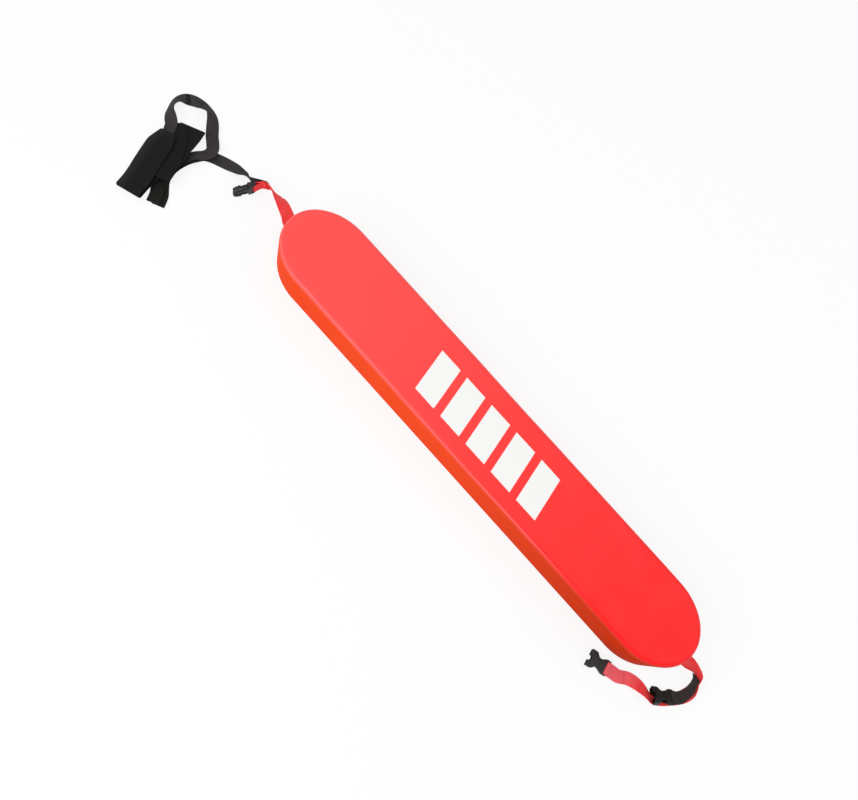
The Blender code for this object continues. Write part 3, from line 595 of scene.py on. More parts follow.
def webbing_material(name, dark, light, roughness, specular, painted_light_or_shade, where):
    """Plain woven webbing: rows of short warp floats, each row half a float along.

    Where the share that where() makes from the map and the place is 1, it's the painted tone:
    painted light on the red strap, painted shade on the black ones.
    """
    made, nodes, shader = new_material(name)
    strap_map = nodes.new("ShaderNodeUVMap")
    strap_map.uv_map = "weave"
    chart = strap_map.outputs[0]
    scaled = fed("Mapping", {"Vector": chart, "Scale": (1000, 1000, 1000)}).outputs[0]
    yarns = fed("TexBrick", {
        "Vector": scaled, "Scale": 1.0, "Brick Width": YARN_LENGTH, "Row Height": YARN_WIDTH,
        "Mortar Size": YARN_GAP, "Mortar Smooth": 1.0,
        "Color1": (1, 1, 1, 1), "Color2": (0, 0, 0, 1), "Mortar": (0.5, 0.5, 0.5, 1),
    }, offset=0.5).outputs
    place = nodes.new("ShaderNodeTexCoord").outputs["Object"]
    yarn_tone = calculate("MULTIPLY", yarns["Color"], 0.22)
    patch_tone = calculate("MULTIPLY", noise(place, 40.0, 3.0), 0.78)
    tone = calculate("ADD", yarn_tone, patch_tone)
    colour = blended(spread(tone, 0.2, 0.8), dark, light)
    # Painted light and shade laid over the weave where the mask is 1.
    colour = blended(where(chart, place), colour, painted_light_or_shade)
    gaps = calculate("MULTIPLY", yarns["Fac"], 0.4)
    colour = blended(gaps, colour, tuple(c * 0.5 for c in dark))
    feed(shader, {"Base Color": colour, "Roughness": roughness, "Specular IOR Level": specular})
    height = calculate("SUBTRACT", 1.0, yarns["Fac"])
    fuzz = calculate("MULTIPLY", noise(scaled, 5.0, 2.0), 0.35)
    bumped(shader, calculate("ADD", height, fuzz), 0.22 * MM, 0.8)
    return made


def part_of(vector, index):
    """One number of a vector: 0 is x, 1 is y, 2 is z."""
    return fed("SeparateXYZ", {0: vector}).outputs[index]


tip = FLOAT_LENGTH / 2
inner = [
    (Vector((x, 0.0, middle)), Vector((0.0, 1.0, 0.0)))
    for x in np.linspace(-tip + STEP, tip - STEP, 40)
]
to_plug = approach(PLUG_BAR, PLUG_HEADING, 0, (7, 3.5, 0), 90)
to_far = approach(FAR_BAR, FAR_HEADING, -5.5, (24, 14, 7, 0), 0)
head = Run([(-tip / MM, 0, middle / MM, 0)] + HEAD_ROUTE + to_plug)
foot = Run([(tip / MM, 0, middle / MM, 0)] + FOOT_ROUTE + to_far)
back = [(point, -across) for point, across in reversed(bar_loop(head, HEAD_FOLD, -1))]
stations = back + inner + bar_loop(foot, FOOT_FOLD, 1)
red_strap = woven_strap("red_strap", stations, WEB_WIDTH, WEB_THICKNESS)


def painted_highlight_part(chart, place):
    """Painted highlight: the red webbing is paler where it lies flat towards the far socket."""
    aside = spread(part_of(place, 1), -0.045, -0.075)
    return calculate("MULTIPLY", aside, spread(part_of(place, 0), 0.505, 0.455))


# The red webbing's painted tone is a pale painted highlight where the strap lies flat towards the
# far socket.
red_weave = webbing_material(
    "red_webbing", dark=(1.0, 0.036, 0.038), light=(1.0, 0.105, 0.108), roughness=0.6,
    specular=0.10, painted_light_or_shade=(1.0, 0.17, 0.20), where=painted_highlight_part,
)
dress(red_strap, red_weave, "float", ["through_webbing"])

# Carrier: a shorter black strap, sewn on the inner face of the red one where it turns back.
# It holds the near socket in its loop.
CARRIER_FOLD = 12 * MM
CARRIER_START = (556, 8, 19)
CARRIER_LIFT = 1.9
CARRIER_ROUTE = [(561, -11.5, 15.4, 78), (561.2, -23, 16.6, 66), (558.8, -35, 15.6, 46)]


def sewn_beside(run, marks, lift):
    """Places on the face side of another strap, lift from its middle."""
    points = []
    for mark in marks:
        place, _, face = run.frame(mark)
        points.append((*((place + face * lift) / MM), run.roll(mark)))
    return points


layer = WEB_THICKNESS + LAYER_GAP
start = foot.nearest(CARRIER_START)
points = sewn_beside(foot, (start, start + 5 * MM, start + 10 * MM), CARRIER_LIFT * layer)
to_near = approach(NEAR_BAR, NEAR_HEADING, 0, (10, 6, 3, 0), NEAR_ROLL)
carrier = Run(points + CARRIER_ROUTE + to_near)


def painted_shade_part(chart, place):
    """Painted shade: the tow line's stack of folds is darker than its free stretches, as is a band
    of its loop.
    """
    x, y = part_of(place, 0), part_of(place, 1)
    stack = calculate("MULTIPLY", spread(y, -0.030, -0.062), spread(x, -0.60, -0.64))
    along = calculate("MULTIPLY_ADD", x, 0.57, calculate("MULTIPLY", y, 0.82))
    away = calculate("ABSOLUTE", calculate("ADD", along, 0.43814))
    band = calculate("MULTIPLY", spread(away, 0.0050, 0.0030), spread(x, -0.790, -0.798))
    return calculate("MAXIMUM", stack, band)


# The black webbing's painted tone is painted shade on the tow line's stack of folds and on a band
# of its loop.
black_weave = webbing_material(
    "black_webbing", dark=(0.030, 0.028, 0.027), light=(0.050, 0.046, 0.045), roughness=0.65,
    specular=0.12, painted_light_or_shade=(0.010, 0.010, 0.009), where=painted_shade_part,
)
stations = bar_loop(carrier, CARRIER_FOLD, 1)
carrier_strap = woven_strap("carrier_strap", stations, WEB_WIDTH, WEB_THICKNESS)
dress(carrier_strap, black_weave, "float", ["carrier_webbing"])

# Tow line: a long black strap, sewn on the outer side of the plug's loop. It is folded to
# and fro in a flat stack, and then runs in a free loop to the shoulder strap.
TOW_ROUTE = [
    (-621.6, 13, 15, 80), (-627, 12.3, 14.2, 72), (-636.2, 11.6, 12.5, 42), (-645, 10.1, 9.5, 27),
    (-656.4, 8.3, 6.5, 13), (-669.5, 4.6, 3.5, 3), (-683.8, -0.6, 1.7, 0), (-698, -8, 2.2, 3),
    (-708.3, -19.4, 4.6, 14), (-713, -33.9, 7, 24), (-718, -47.5, 7.4, 22), (-722, -62, 6, 14),
    (-724, -78, 3.8, 5), (-721.5, -94, 1.8, 0), (-713.3, -107.5, 1.5, 0),
    (-702.3, -118, 1.5, 0), (-694.5, -125, 1.5, 0),
    (-689.5, -132, 1.5, 0), (-686.5, -137, 1.5, 0), (-684, -142, 1.5, 0),
]
TOW_LOOP_ROUTE = [
    (-707, -21, 12.4, -16), (-704.5, -11, 11.4, -10), (-707, -2, 10.6, -6), (-715, 5.5, 9.8, -3),
    (-729.5, 16, 9, 4),
    (-743.2, 28.4, 8.6, 12), (-756.4, 39.4, 9, 32), (-768.8, 44.9, 10.3, 45),
    (-780.9, 43.6, 10, 32), (-792.2, 40.4, 8.4, 14), (-806, 35.1, 6.2, 0), (-816.3, 26.6, 6.2, 6),
    (-820.8, 15.6, 8.4, 29), (-819.7, 4.1, 10.8, 48), (-815.2, -6.4, 12, 54),
    (-809, -14, 12.8, 42), (-798.5, -20.5, 13.8, 18),
]
TOW_TUCK = [(-786.5, -27), (-777, -41), (-769, -57), (-762, -75)]
TOW_SEWN_FROM_BAR = (29 * MM, 23 * MM, 17 * MM)
TOW_FOLD = 58 * MM
TOW_STACK_STEP = 11.5 * MM
TOW_STACK_PITCH = WEB_THICKNESS + LAYER_GAP + 0.1 * MM
TOW_FOLD_SHIFTS = (-2, -9)
TOW_LEAVES_STACK = (-713, -34, 7)
STRAP_THICKNESS = 2.0 * MM
BUNDLE_EDGE = (-758.0, -172.0)
BUNDLE_HEADING = 108.4
BUNDLE_SLANT = 13.0
BUNDLE_BASE = 2.1
FOLD_STEPS = 8


def slant_normal():
    """The face direction of the folded shoulder strap."""
    along = heading_vector(BUNDLE_HEADING)
    return (Matrix.Rotation(math.radians(-BUNDLE_SLANT), 3, along) @ UP).normalized()


def slant_height(x, y):
    """Height in millimetres of the shoulder strap's lowest layer over a place."""
    along = heading_vector(BUNDLE_HEADING)
    aside = (x - BUNDLE_EDGE[0]) * along.y - (y - BUNDLE_EDGE[1]) * along.x
    return BUNDLE_BASE + aside * math.tan(math.radians(BUNDLE_SLANT))


def ease(low, high, start, end, x):
    """A smooth passage from low at start to high at end."""
    part = min(max((x - start) / (end - start), 0.0), 1.0)
    return low + (high - low) * (0.5 - 0.5 * math.cos(math.pi * part))


def stacked(run, start, end, layers, shift_start, shift_end):
    """Places some layers over a stretch of the strap, shifted aside in millimetres."""
    marks = run.even(start, end, TOW_STACK_STEP)
    flip = -1 if start > end else 1
    points = []
    for i, (mark, (place, side, face)) in enumerate(zip(marks, framed(run.stations(marks)))):
        shift = ease(shift_start, shift_end, 1, len(marks) - 2, i)
        spot = (place + face * flip * (layers * TOW_STACK_PITCH) + side * shift * MM) / MM
        points.append((*spot, flip * run.roll(mark)))
    return points


def join_runs(runs, bulges):
    """Joins stacked runs of stations by a folded turn between each two."""
    stations = list(runs[0])
    for run, bulge in zip(runs[1:], bulges):
        start, across_start = stations[-1]
        end, across_end = run[0]
        ahead = (start - stations[-2][0]).normalized()
        centre = (start + end) / 2
        arm = start - centre
        for step in range(1, FOLD_STEPS):
            angle = math.pi * step / FOLD_STEPS
            point = centre + arm * math.cos(angle) + ahead * (bulge or arm.length) * math.sin(angle)
            stations.append((point, across_start.lerp(across_end, step / FOLD_STEPS).normalized()))
        stations += list(run)
    return stations


marks = [head.length - value for value in TOW_SEWN_FROM_BAR]
first = Run(sewn_beside(head, marks, 1.5 * layer) + TOW_ROUTE)
end = first.length
fold_at = end - TOW_FOLD
back_shift, forth_shift = TOW_FOLD_SHIFTS
back = Run(stacked(first, end, fold_at, 1, 0, back_shift))
forth = Run(stacked(first, fold_at, end, 2, back_shift, forth_shift))
home = stacked(first, end, first.nearest(TOW_LEAVES_STACK), 3, forth_shift, 0)
lift = slant_normal() * (2.5 * STRAP_THICKNESS + 3 * LAYER_GAP + WEB_THICKNESS / 2) / MM
tuck = [
    (x + lift.x, y + lift.y, slant_height(x, y) + lift.z, BUNDLE_SLANT) for x, y in TOW_TUCK
]
loop = Run(home + TOW_LOOP_ROUTE + tuck)
runs = [
    run.stations(run.even(0.0, run.length), turned)
    for run, turned in ((first, False), (back, True), (forth, False), (loop, True))
]
tow_strap = woven_strap("tow_strap", join_runs(runs, [None] * 3), WEB_WIDTH, WEB_THICKNESS)
dress(tow_strap, black_weave, "float", ["tow_line"])

# Shoulder strap: a wide soft black band, worn over the rescuer's shoulder. It is folded in
# four and lies on the tow line's stack, with the tow line's end between its ends.
STRAP_WIDTH = 51 * MM
STRAP_END_WIDTH = 33 * MM
STRAP_TAPER = 26 * MM
HEM_BULGE = 3.5 * MM
STRAP_STEP = 4 * MM
PANEL_TOP = [
    (-774, -42, 3.8), (-770, -56, 3.8), (-763.5, -75, 3.75), (-752, -105, 3.3),
    (-741, -131, 3.05), (-735, -148, 3.0), (-731, -164, 3.0),
]
PANEL_UNDER = [
    (-731, -164, 0.0), (-735, -148, 0.0), (-739.5, -125, 0.0), (-741, -90, 0.0),
    (-745, -50, 0.0), (-752.7, -18.5, 0.0), (-758, -4, 0.0),
]
INNER_DOWN = [
    (-758, -4, 1.0), (-752.7, -18.5, 1.0), (-743, -48, 1.0), (-733, -77.5, 1.0),
    (-726, -97, 1.0), (-720, -113, 1.0),
]
INNER_UP = [
    (-720, -113, 2.0), (-726, -97, 2.0), (-735, -77.5, 2.0), (-755, -50, 2.0),
    (-773, -30, 2.0), (-781.5, -16, 2.0),
]


def slanted_run(plan):
    """One layer of the folded band, from places in plan with their height in layers."""
    normal = slant_normal()
    level = (STRAP_THICKNESS + LAYER_GAP) / MM
    spots = [Vector((x, y, slant_height(x, y))) + normal * height * level for x, y, height in plan]
    return Run([(*spot, 0.0) for spot in spots], up=normal)


runs = []
for turned, plan in (
    (False, PANEL_TOP), (True, PANEL_UNDER), (False, INNER_DOWN), (True, INNER_UP),
):
    run = slanted_run(plan)
    runs.append(run.stations(run.even(0.0, run.length, STRAP_STEP), turned))
stations = join_runs(runs, [HEM_BULGE, None, None])
shoulder_strap = woven_strap(
    "shoulder_band", stations, STRAP_WIDTH, STRAP_THICKNESS, STRAP_END_WIDTH, STRAP_TAPER)


def painted_slope_shade(chart, place):
    """Painted shade: the band is darker but along its outer side, on its outer face, where the
    slope towards the light is left lighter.
    """
    return spread(part_of(chart, 1), -0.024, -0.002)


# The soft band's painted tone is painted shade over all but its outer side.
soft_weave = webbing_material(
    "soft_black_webbing", dark=(0.014, 0.017, 0.015), light=(0.026, 0.030, 0.027),
    roughness=0.75, specular=0.08, painted_light_or_shade=(0.009, 0.010, 0.009), where=painted_slope_shade,
)
dress(shoulder_strap, soft_weave, "float", ["shoulder_strap"])

# Sockets: two alike, moulded in black acetal. Each is an hourglass shell with a raised mouth
# lip, two side windows for the plug's barbs, a notch in each lip, grip ribs over the waist
# and a round bar at the rear that the webbing loop turns about.
REAR_END = -2.4 * MM
SLOT_END = 5.0 * MM
SLOT_WIDTH = WEB_WIDTH + 2 * CLEARANCE
REAR_WIDTH = SLOT_WIDTH + 3.8 * MM
REAR_HEIGHT = 7.0 * MM
BUCKLE_HEIGHT = 11.0 * MM
MOUTH_WIDTH = 30.5 * MM
WAIST_WIDTH = 17 * MM
SOCKET_LENGTH = 37 * MM
COLLAR_LENGTH = 9.5 * MM
WINDOW_LENGTH = 15 * MM
CAVITY_WIDTH = 26 * MM
CAVITY_HEIGHT = 7.4 * MM
NOTCH_RADIUS = 4.5 * MM
NOTCH_DEPTH = 5 * MM
RIM_FOOT = 2.7 * MM
RIM_TOP = 2.2 * MM
RIM_OUT = (0.2 * MM, 0.5 * MM)
LONG_EDGE = 1.3 * MM
SMALL_EDGE = 0.25 * MM
EDGE_ANGLE = 35
SMOOTH_ANGLE = 32
STRAY_REACH = 0.06 * MM
SLIVER_REACH = 0.004 * MM
OVERCUT = 5 * MM
BAR_SEATS = 1.9 * MM
RIB_RADIUS = 0.45 * MM
RIB_PITCH = 1.9
RIB_START = -1.1
RIB_LENGTH = 10.5
RIB_RISE = 0.05 * MM
ACETAL_DEEP = (0.018, 0.017, 0.018)
ACETAL_PALE = (0.030, 0.028, 0.029)
# Painted shade for the near socket.
ACETAL_NEAR_PAINTED_SHADE = (0.004, 0.004, 0.003)


def join_on(thing, tool):
    """Joins a tool on to a piece."""
    combine(thing, tool, "UNION")


def centred(start, end, half_width, half_height):
    """The two corners of a block that lies evenly about the x axis."""
    return (start, -half_width, -half_height), (end, half_width, half_height)


def shaped_block(name, corners, sections):
    """A block that is cut across at each section and shaped there.

    A section is x, the lower and upper y, and the half height.
    """
    made = block(name, *corners)
    middle = (corners[0][1] + corners[1][1]) / 2
    edit(made)
    for section in sections[1:-1]:
        slice_across((section[0], 0, 0), (1, 0, 0))
    close()
    for vertex in made.data.vertices:
        _, low, high, half = min(sections, key=lambda row: abs(row[0] - vertex.co.x))
        vertex.co.y = low if vertex.co.y < middle else high
        vertex.co.z = half if vertex.co.z > 0 else -half
    return made


def lengthwise(edge):
    """Tells whether an edge runs along the piece."""
    return abs(edge.verts[0].co.x - edge.verts[1].co.x) > 0.05 * MM


def rim_at(*ends):
    """A test for the edges round a piece's ends."""
    return lambda e: any(all(abs(v.co.x - end) < TINY for v in e.verts) for end in ends)


def round_edges(thing, wanted, size, steps):
    """Bevels the chosen edges of a piece."""
    edit(thing)
    choose(thing, "edges", wanted)
    bpy.ops.mesh.bevel(offset=size, segments=steps, profile=0.5, affect="EDGES", clamp_overlap=True)
    close()


def rod(name, radius, length, middle, axis, sides=24):
    """A round bar along one axis, its rims rounded."""
    turn = {"X": (0, math.pi / 2, 0), "Y": (math.pi / 2, 0, 0), "Z": (0, 0, 0)}[axis]
    bpy.ops.mesh.primitive_cylinder_add(
        vertices=sides, radius=radius, depth=length, location=middle, rotation=turn)
    made = settled(name)
    way = "XYZ".index(axis)
    round_edges(
        made, lambda e: abs(e.verts[0].co[way] - e.verts[1].co[way]) < TINY, radius * 0.35, 3)
    return made


def merge_strays(thing, reach):
    """Merges the points that cuts leave closer than reach, and drops what has no area."""
    edit(thing)
    bpy.ops.mesh.select_all(action="SELECT")
    bpy.ops.mesh.remove_doubles(threshold=reach)
    bpy.ops.mesh.dissolve_degenerate(threshold=reach)
    bpy.ops.mesh.delete_loose()
    close()


def soften(thing, width):
    """Gives the moulded piece its small rounded edges and shades it smooth."""
    merge_strays(thing, STRAY_REACH)
    change = thing.modifiers.new("edges", "BEVEL")
    change.width = width
    change.segments = 2
    change.limit_method = "ANGLE"
    change.angle_limit = math.radians(EDGE_ANGLE)
    bpy.ops.object.modifier_apply(modifier="edges")
    merge_strays(thing, SLIVER_REACH)
    shade(thing, SMOOTH_ANGLE)


def add_bar(thing):
    """Opens the webbing slot at the rear and puts the round bar across it."""
    cut_away(thing, block("slot", *centred(-8 * MM, SLOT_END, SLOT_WIDTH / 2, 8 * MM)))
    join_on(thing, rod("bar", BAR_RADIUS, SLOT_WIDTH + BAR_SEATS, (0, 0, 0), "Y"))


def put_on_strap(thing, bar, heading, roll):
    """Moves a piece made with its bar on the Y axis to where the strap holds it."""
    place = Matrix.Translation(Vector(bar) * MM) @ Matrix.Rotation(math.radians(heading), 4, "Z")
    thing.data.transform(place @ Matrix.Rotation(math.radians(roll), 4, "X"))


window_start = SOCKET_LENGTH - COLLAR_LENGTH - WINDOW_LENGTH
waist_start = window_start + 4.5 * MM
waist_end = waist_start + 2.5 * MM
flare_end = SOCKET_LENGTH - COLLAR_LENGTH + 1.5 * MM
sections = []
for x in (
    REAR_END, REAR_END + 0.9 * MM, SLOT_END, *np.linspace(6 * MM, waist_start, 8),
    *np.linspace(waist_end, flare_end, 9),
    SOCKET_LENGTH - RIM_FOOT, SOCKET_LENGTH - RIM_TOP, SOCKET_LENGTH,
):
    if x > waist_start:
        half_width = ease(WAIST_WIDTH / 2, MOUTH_WIDTH / 2, waist_end, flare_end, x)
    else:
        half_width = ease(REAR_WIDTH / 2, WAIST_WIDTH / 2, SLOT_END, waist_start, x)
    half_height = ease(REAR_HEIGHT / 2, BUCKLE_HEIGHT / 2, REAR_END, waist_start, x)
    if x == REAR_END:
        half_width, half_height = half_width - 0.5 * MM, half_height - 0.9 * MM
    if x > SOCKET_LENGTH - RIM_FOOT:
        half_width, half_height = half_width + RIM_OUT[0], half_height + RIM_OUT[1]
    sections.append((float(x), -half_width, half_width, half_height))
corners = centred(REAR_END, SOCKET_LENGTH, MOUTH_WIDTH / 2, BUCKLE_HEIGHT / 2)
socket_shell = shaped_block("socket_shell", corners, sections)
round_edges(socket_shell, lengthwise, LONG_EDGE, 4)
round_edges(socket_shell, rim_at(REAR_END, SOCKET_LENGTH), 0.4 * MM, 2)
for side in (1, -1):
    for k in range(3):
        x = waist_start + (k * RIB_PITCH + RIB_START) * MM
        spot = (x, 0, side * (BUCKLE_HEIGHT / 2 + RIB_RISE))
        rib = rod("grip_rib", RIB_RADIUS, (RIB_LENGTH - k) * MM, spot, "Y", 12)
        join_on(socket_shell, rib)
past_mouth = SOCKET_LENGTH + OVERCUT
notch_x = SOCKET_LENGTH - NOTCH_DEPTH + NOTCH_RADIUS
cavity = centred(window_start, past_mouth, CAVITY_WIDTH / 2, CAVITY_HEIGHT / 2)
windows = centred(window_start, window_start + WINDOW_LENGTH, MOUTH_WIDTH, CAVITY_HEIGHT / 2)
cut_away(socket_shell, block("cavity", *cavity))
cut_away(socket_shell, block("windows", *windows))
cut_away(socket_shell, rod("notch_round", NOTCH_RADIUS, 40 * MM, (notch_x, 0, 0), "Z", 32))
cut_away(socket_shell, block("notch", *centred(notch_x, past_mouth, NOTCH_RADIUS, 20 * MM)))
add_bar(socket_shell)
soften(socket_shell, SMALL_EDGE)

# The acetal has a fine grain and is a little smudged. The near socket is darker by painted shade,
# set by its place.
acetal, nodes, shader = new_material("black_acetal")
place = nodes.new("ShaderNodeTexCoord").outputs["Object"]
smudge = noise(place, 120.0, 3.0, 0.6)
colour = blended(spread(smudge, 0.35, 0.75), ACETAL_DEEP, ACETAL_PALE)
# Painted shade: the near socket, found by its place, is darker.
colour = blended(spread(part_of(place, 0), 0.46, 0.49), colour, ACETAL_NEAR_PAINTED_SHADE)
feed(shader, {
    "Base Color": colour, "Roughness": spread(smudge, 0.3, 0.7, 0.36, 0.50),
    "Specular IOR Level": 0.22,
})
bumped(shader, noise(place, 1900.0, 2.0), 0.05 * MM, 0.6)

near_shell = socket_shell
far_shell = socket_shell.copy()
far_shell.data = socket_shell.data.copy()
bpy.context.scene.collection.objects.link(far_shell)
near_shell.name, far_shell.name = "near_socket_shell", "far_socket_shell"
put_on_strap(near_shell, NEAR_BAR, NEAR_HEADING, NEAR_ROLL)
put_on_strap(far_shell, FAR_BAR, FAR_HEADING, 0.0)
dress(near_shell, acetal, "near_socket", ["near_socket"])
dress(far_shell, acetal, "far_socket", ["far_socket"])

# Plug: the other half of the buckle, in the same black acetal. Its base holds the webbing
# bar, a stop block and a guide tongue, and two sprung arms end in barbs with ribbed pads.
BASE_LENGTH = 12.05 * MM
STOP_LENGTH = 14.5 * MM
PRONG_LENGTH = 24.5 * MM
ARM_HEIGHT = 6.6 * MM
ARM_PIVOT = (14.0 * MM, 10.4 * MM)
ARM_ROOT_RADIUS = 2.0 * MM
STOP_START = 9.7 * MM
BARB = MOUTH_WIDTH / 2 - 0.4 * MM
sections = []
for x in (REAR_END, REAR_END + 0.9 * MM, 1 * MM, 2.5 * MM, 4 * MM, SLOT_END, BASE_LENGTH):
    half_height = ease(REAR_HEIGHT / 2, BUCKLE_HEIGHT / 2, REAR_END, SLOT_END, x)
    inset = 0.6 * MM if x == REAR_END else 0.0
    sections.append((x, inset - REAR_WIDTH / 2, REAR_WIDTH / 2 - inset, half_height - inset))
corners = centred(REAR_END, BASE_LENGTH, REAR_WIDTH / 2, BUCKLE_HEIGHT / 2)
plug = shaped_block("plug_moulding", corners, sections)
round_edges(plug, lengthwise, LONG_EDGE, 4)
round_edges(plug, rim_at(BASE_LENGTH), 0.7 * MM, 3)
stop = block("stop", *centred(STOP_START, STOP_LENGTH, 7.8 * MM, 4.6 * MM))
round_edges(stop, lambda e: True, 0.6 * MM, 3)
join_on(plug, stop)

# The tongue: x, half width and how much thinner it is, the last two in millimetres.
tip_x = STOP_LENGTH + PRONG_LENGTH
half = ARM_HEIGHT / 2
sections = [(x, -width * MM, width * MM, half - thinner * MM) for x, width, thinner in (
    (STOP_START, 3.4, 0), (STOP_LENGTH, 3.4, 0), (tip_x - 3 * MM, 2.3, 0),
    (tip_x - 1 * MM, 1.8, 0.4), (tip_x, 1.1, 1.0),
)]
tongue = shaped_block("tongue", centred(STOP_START, tip_x, 3.4 * MM, half), sections)
round_edges(tongue, lengthwise, 0.6 * MM, 3)
join_on(plug, tongue)
for side in (1, -1):
    for k in range(2):
        spot = ((8.4 + k * 1.6) * MM, 0, side * BUCKLE_HEIGHT / 2)
        join_on(plug, rod("base_rib", 0.4 * MM, 14 * MM, spot, "Y", 12))
add_bar(plug)
soften(plug, SMALL_EDGE)

# The arms' outline: x, how far the inner side lies inwards of the pivot, and where the outer
# side lies: outwards of the pivot on the spring and the nose, inwards of the barb on the pad.
catch = STOP_LENGTH + COLLAR_LENGTH + CLEARANCE
pivot_x, pivot_y = ARM_PIVOT
spring = (
    (pivot_x, 1.95, 1.95), (pivot_x + 3 * MM, 2.05, 1.6), (catch - 3 * MM, 2.1, 0.7),
    (catch - 0.9 * MM, 2.2, 0.5), (catch - 0.05 * MM, 2.2, 1.0),
)
pad = (
    (catch, 2.25, 0.5), (catch + 0.5 * MM, 2.3, 0), (catch + 2.6 * MM, 2.5, 0),
    (catch + 5 * MM, 2.7, 0.6), (tip_x - 5 * MM, 3.1, 2.0), (tip_x - 2.6 * MM, 3.6, 3.6),
)
nose = ((tip_x - 1.2 * MM, 3.5, -0.6), (tip_x, 2.8, -1.9))
outline = [
    (x, pivot_y - inner * MM, base + way * outer * MM)
    for rows, base, way in ((spring, pivot_y, 1), (pad, BARB, -1), (nose, pivot_y, 1))
    for x, inner, outer in rows
]
arms = {}
for name, side in (("upper", 1), ("lower", -1)):
    sections = [(x, *sorted((side * inner, side * outer)), half) for x, inner, outer in outline]
    low, high = sorted((side * 5 * MM, side * 15 * MM))
    arm = shaped_block("arm_" + name, ((pivot_x, low, -half), (tip_x, high, half)), sections)
    root = rod("root", ARM_ROOT_RADIUS, ARM_HEIGHT, (pivot_x, side * pivot_y, 0), "Z", 28)
    join_on(arm, root)
    for k in range(5):
        x = catch + (0.8 + 1.15 * k) * MM
        drop = max(0.0, x - catch - 2.6 * MM) * 0.25
        spot = (x, side * (BARB - drop - 0.05 * MM), 0)
        join_on(arm, rod("pad_rib", 0.42 * MM, 5.0 * MM, spot, "Z", 12))
    soften(arm, 0.3 * MM)
    arms[name] = arm
for piece in (plug, arms["upper"], arms["lower"]):
    put_on_strap(piece, PLUG_BAR, PLUG_HEADING, 90.0)
dress(plug, acetal, "plug", ["plug_body"])
for name, arm in arms.items():
    dress(arm, acetal, "arm_" + name, ["latch_arm_" + name])

# Slit lips: the vinyl is drawn up into a small rolled lip where the webbing leaves the float
# at each end. The lip is dipped vinyl like the skin, and one with it.
LIP_MIDDLE = 1.9 * MM
LIP_RADIUS = 0.8 * MM
for name, side in (("head_lip", -1), ("foot_lip", 1)):
    bpy.ops.mesh.primitive_torus_add(
        major_segments=48, minor_segments=12, major_radius=LIP_MIDDLE, minor_radius=LIP_RADIUS,
        rotation=(0, math.pi / 2, 0),
    )
    lip = settled(name)
    draw_out(lip, 1, SLIT[0] / 2 + LIP_RADIUS - LIP_MIDDLE)
    for vertex in lip.data.vertices:
        round_back = END_LENGTH * (1 - math.sqrt(1 - (vertex.co.y / (FLOAT_WIDTH / 2)) ** 2))
        vertex.co.x = side * (FLOAT_LENGTH / 2 - 0.1 * MM - round_back) + vertex.co.x
        vertex.co.z += middle
    bpy.ops.object.shade_smooth()
    dress(lip, vinyl, "float", [])

# Stitches: short raised threads, red on the red webbing and black on the black. Boxes with a
# cross hold the two big loops and the sewn-on straps, and plain rows hold the ends.
STITCH_LENGTH = 2.5 * MM
STITCH_PITCH = 3.3 * MM
THREAD_RADIUS = 0.32 * MM
THREAD_SIDES = (10, 6)
bpy.ops.mesh.primitive_uv_sphere_add(
    segments=THREAD_SIDES[0], ring_count=THREAD_SIDES[1], radius=THREAD_RADIUS,
    rotation=(0, math.pi / 2, 0),
)
stitch = settled("stitch")
draw_out(stitch, 0, STITCH_LENGTH / 2 - THREAD_RADIUS)
bpy.ops.object.shade_smooth()


def seam_line(start, end):
    """Stitch middles along a line between two corners, each with the line's direction."""
    reach = math.dist(start, end)
    count = max(1, round(reach / STITCH_PITCH))
    way = ((end[0] - start[0]) / reach, (end[1] - start[1]) / reach)
    middles = [reach * (i + 0.5) / count for i in range(count)]
    return [(start[0] + way[0] * m, start[1] + way[1] * m, way) for m in middles]


def crossed_box(low, high, half):
    """A box seam with a cross in it, between two marks and to half on either side."""
    a, b, c, d = (low, -half), (high, -half), (high, half), (low, half)
    lines = ((a, b), (b, c), (c, d), (d, a), (a, c), (b, d))
    return [spot for line in lines for spot in seam_line(*line)]


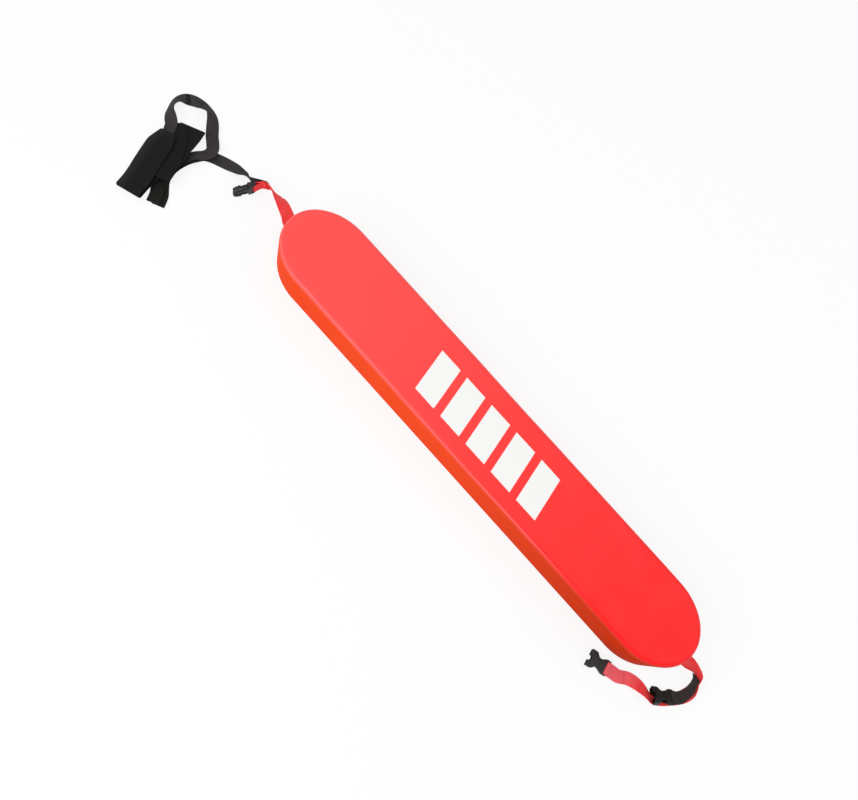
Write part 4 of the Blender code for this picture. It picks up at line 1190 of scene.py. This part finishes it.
def sew(name, seams, material):
    """Lays stitches on straps and joins them into one piece.

    A seam is a run, its spots as mark, aside and direction, and the height over the run's line.
    """
    made = []
    for run, spots, height in seams:
        for mark, aside, way in spots:
            point, across, face = run.frame(mark)
            along = run.heading(mark)
            ahead = (along * way[0] + across * way[1]).normalized()
            turn = Matrix((ahead, face.cross(ahead), face)).transposed().to_4x4()
            copy = stitch.copy()
            copy.data = stitch.data.copy()
            bpy.context.scene.collection.objects.link(copy)
            copy.data.transform(Matrix.Translation(point + across * aside + face * height) @ turn)
            made.append(copy)
    bpy.ops.object.select_all(action="DESELECT")
    for copy in made:
        copy.select_set(True)
    bpy.context.view_layer.objects.active = made[0]
    bpy.ops.object.join()
    made[0].name = name
    dress(made[0], material, "float", [])


def thread_material(name, colour, dark):
    """Twisted thread: a fine slanted band along each stitch."""
    made, nodes, shader = new_material(name)
    place = nodes.new("ShaderNodeTexCoord").outputs["Object"]
    inputs = {"Vector": place, "Scale": 900.0, "Distortion": 1.0}
    bands = fed("TexWave", inputs, bands_direction="DIAGONAL").outputs["Fac"]
    colour = blended(bands, dark, colour)
    feed(shader, {"Base Color": colour, "Roughness": 0.6, "Specular IOR Level": 0.15})
    bumped(shader, bands, 0.06 * MM)
    return made


red_thread = thread_material("red_thread", (1.0, 0.16, 0.16), (0.75, 0.05, 0.05))
black_thread = thread_material("black_thread", (0.060, 0.058, 0.056), (0.015, 0.015, 0.015))
over = (WEB_THICKNESS + LAYER_GAP) / 2 + WEB_THICKNESS / 2
half = WEB_WIDTH / 2 - 3 * MM
head_box = crossed_box(head.length - 25 * MM, head.length - 14 * MM, half)
foot_box = crossed_box(foot.length - 34 * MM, foot.length - 15 * MM, half)
sewn_on = crossed_box(start + 1.5 * MM, start + 9 * MM, half)
sew("red_stitching", [
    (head, head_box, -over), (foot, foot_box, over), (foot, foot_box, -over),
    (foot, sewn_on, -WEB_THICKNESS / 2),
], red_thread)
tow_box = crossed_box(1 * MM, first.nearest(TOW_ROUTE[0][:3]) - 1.5 * MM, half)
loop_row = seam_line((carrier.length - 10.5 * MM, -half), (carrier.length - 10.5 * MM, half))
loop_over = loop_offset(10.5 * MM, CARRIER_FOLD) + WEB_THICKNESS / 2
end_rows = [
    spot for mark in (4, 8, 20)
    for spot in seam_line((mark * MM, -13 * MM), (mark * MM, 13 * MM))
]
sew("black_stitching", [
    (first, tow_box, WEB_THICKNESS / 2),
    (carrier, crossed_box(1.5 * MM, 9 * MM, half), WEB_THICKNESS / 2),
    (carrier, loop_row, loop_over), (carrier, loop_row, -loop_over),
    (slanted_run(PANEL_TOP), end_rows, STRAP_THICKNESS / 2),
], black_thread)
bpy.data.objects.remove(stitch, do_unlink=True)
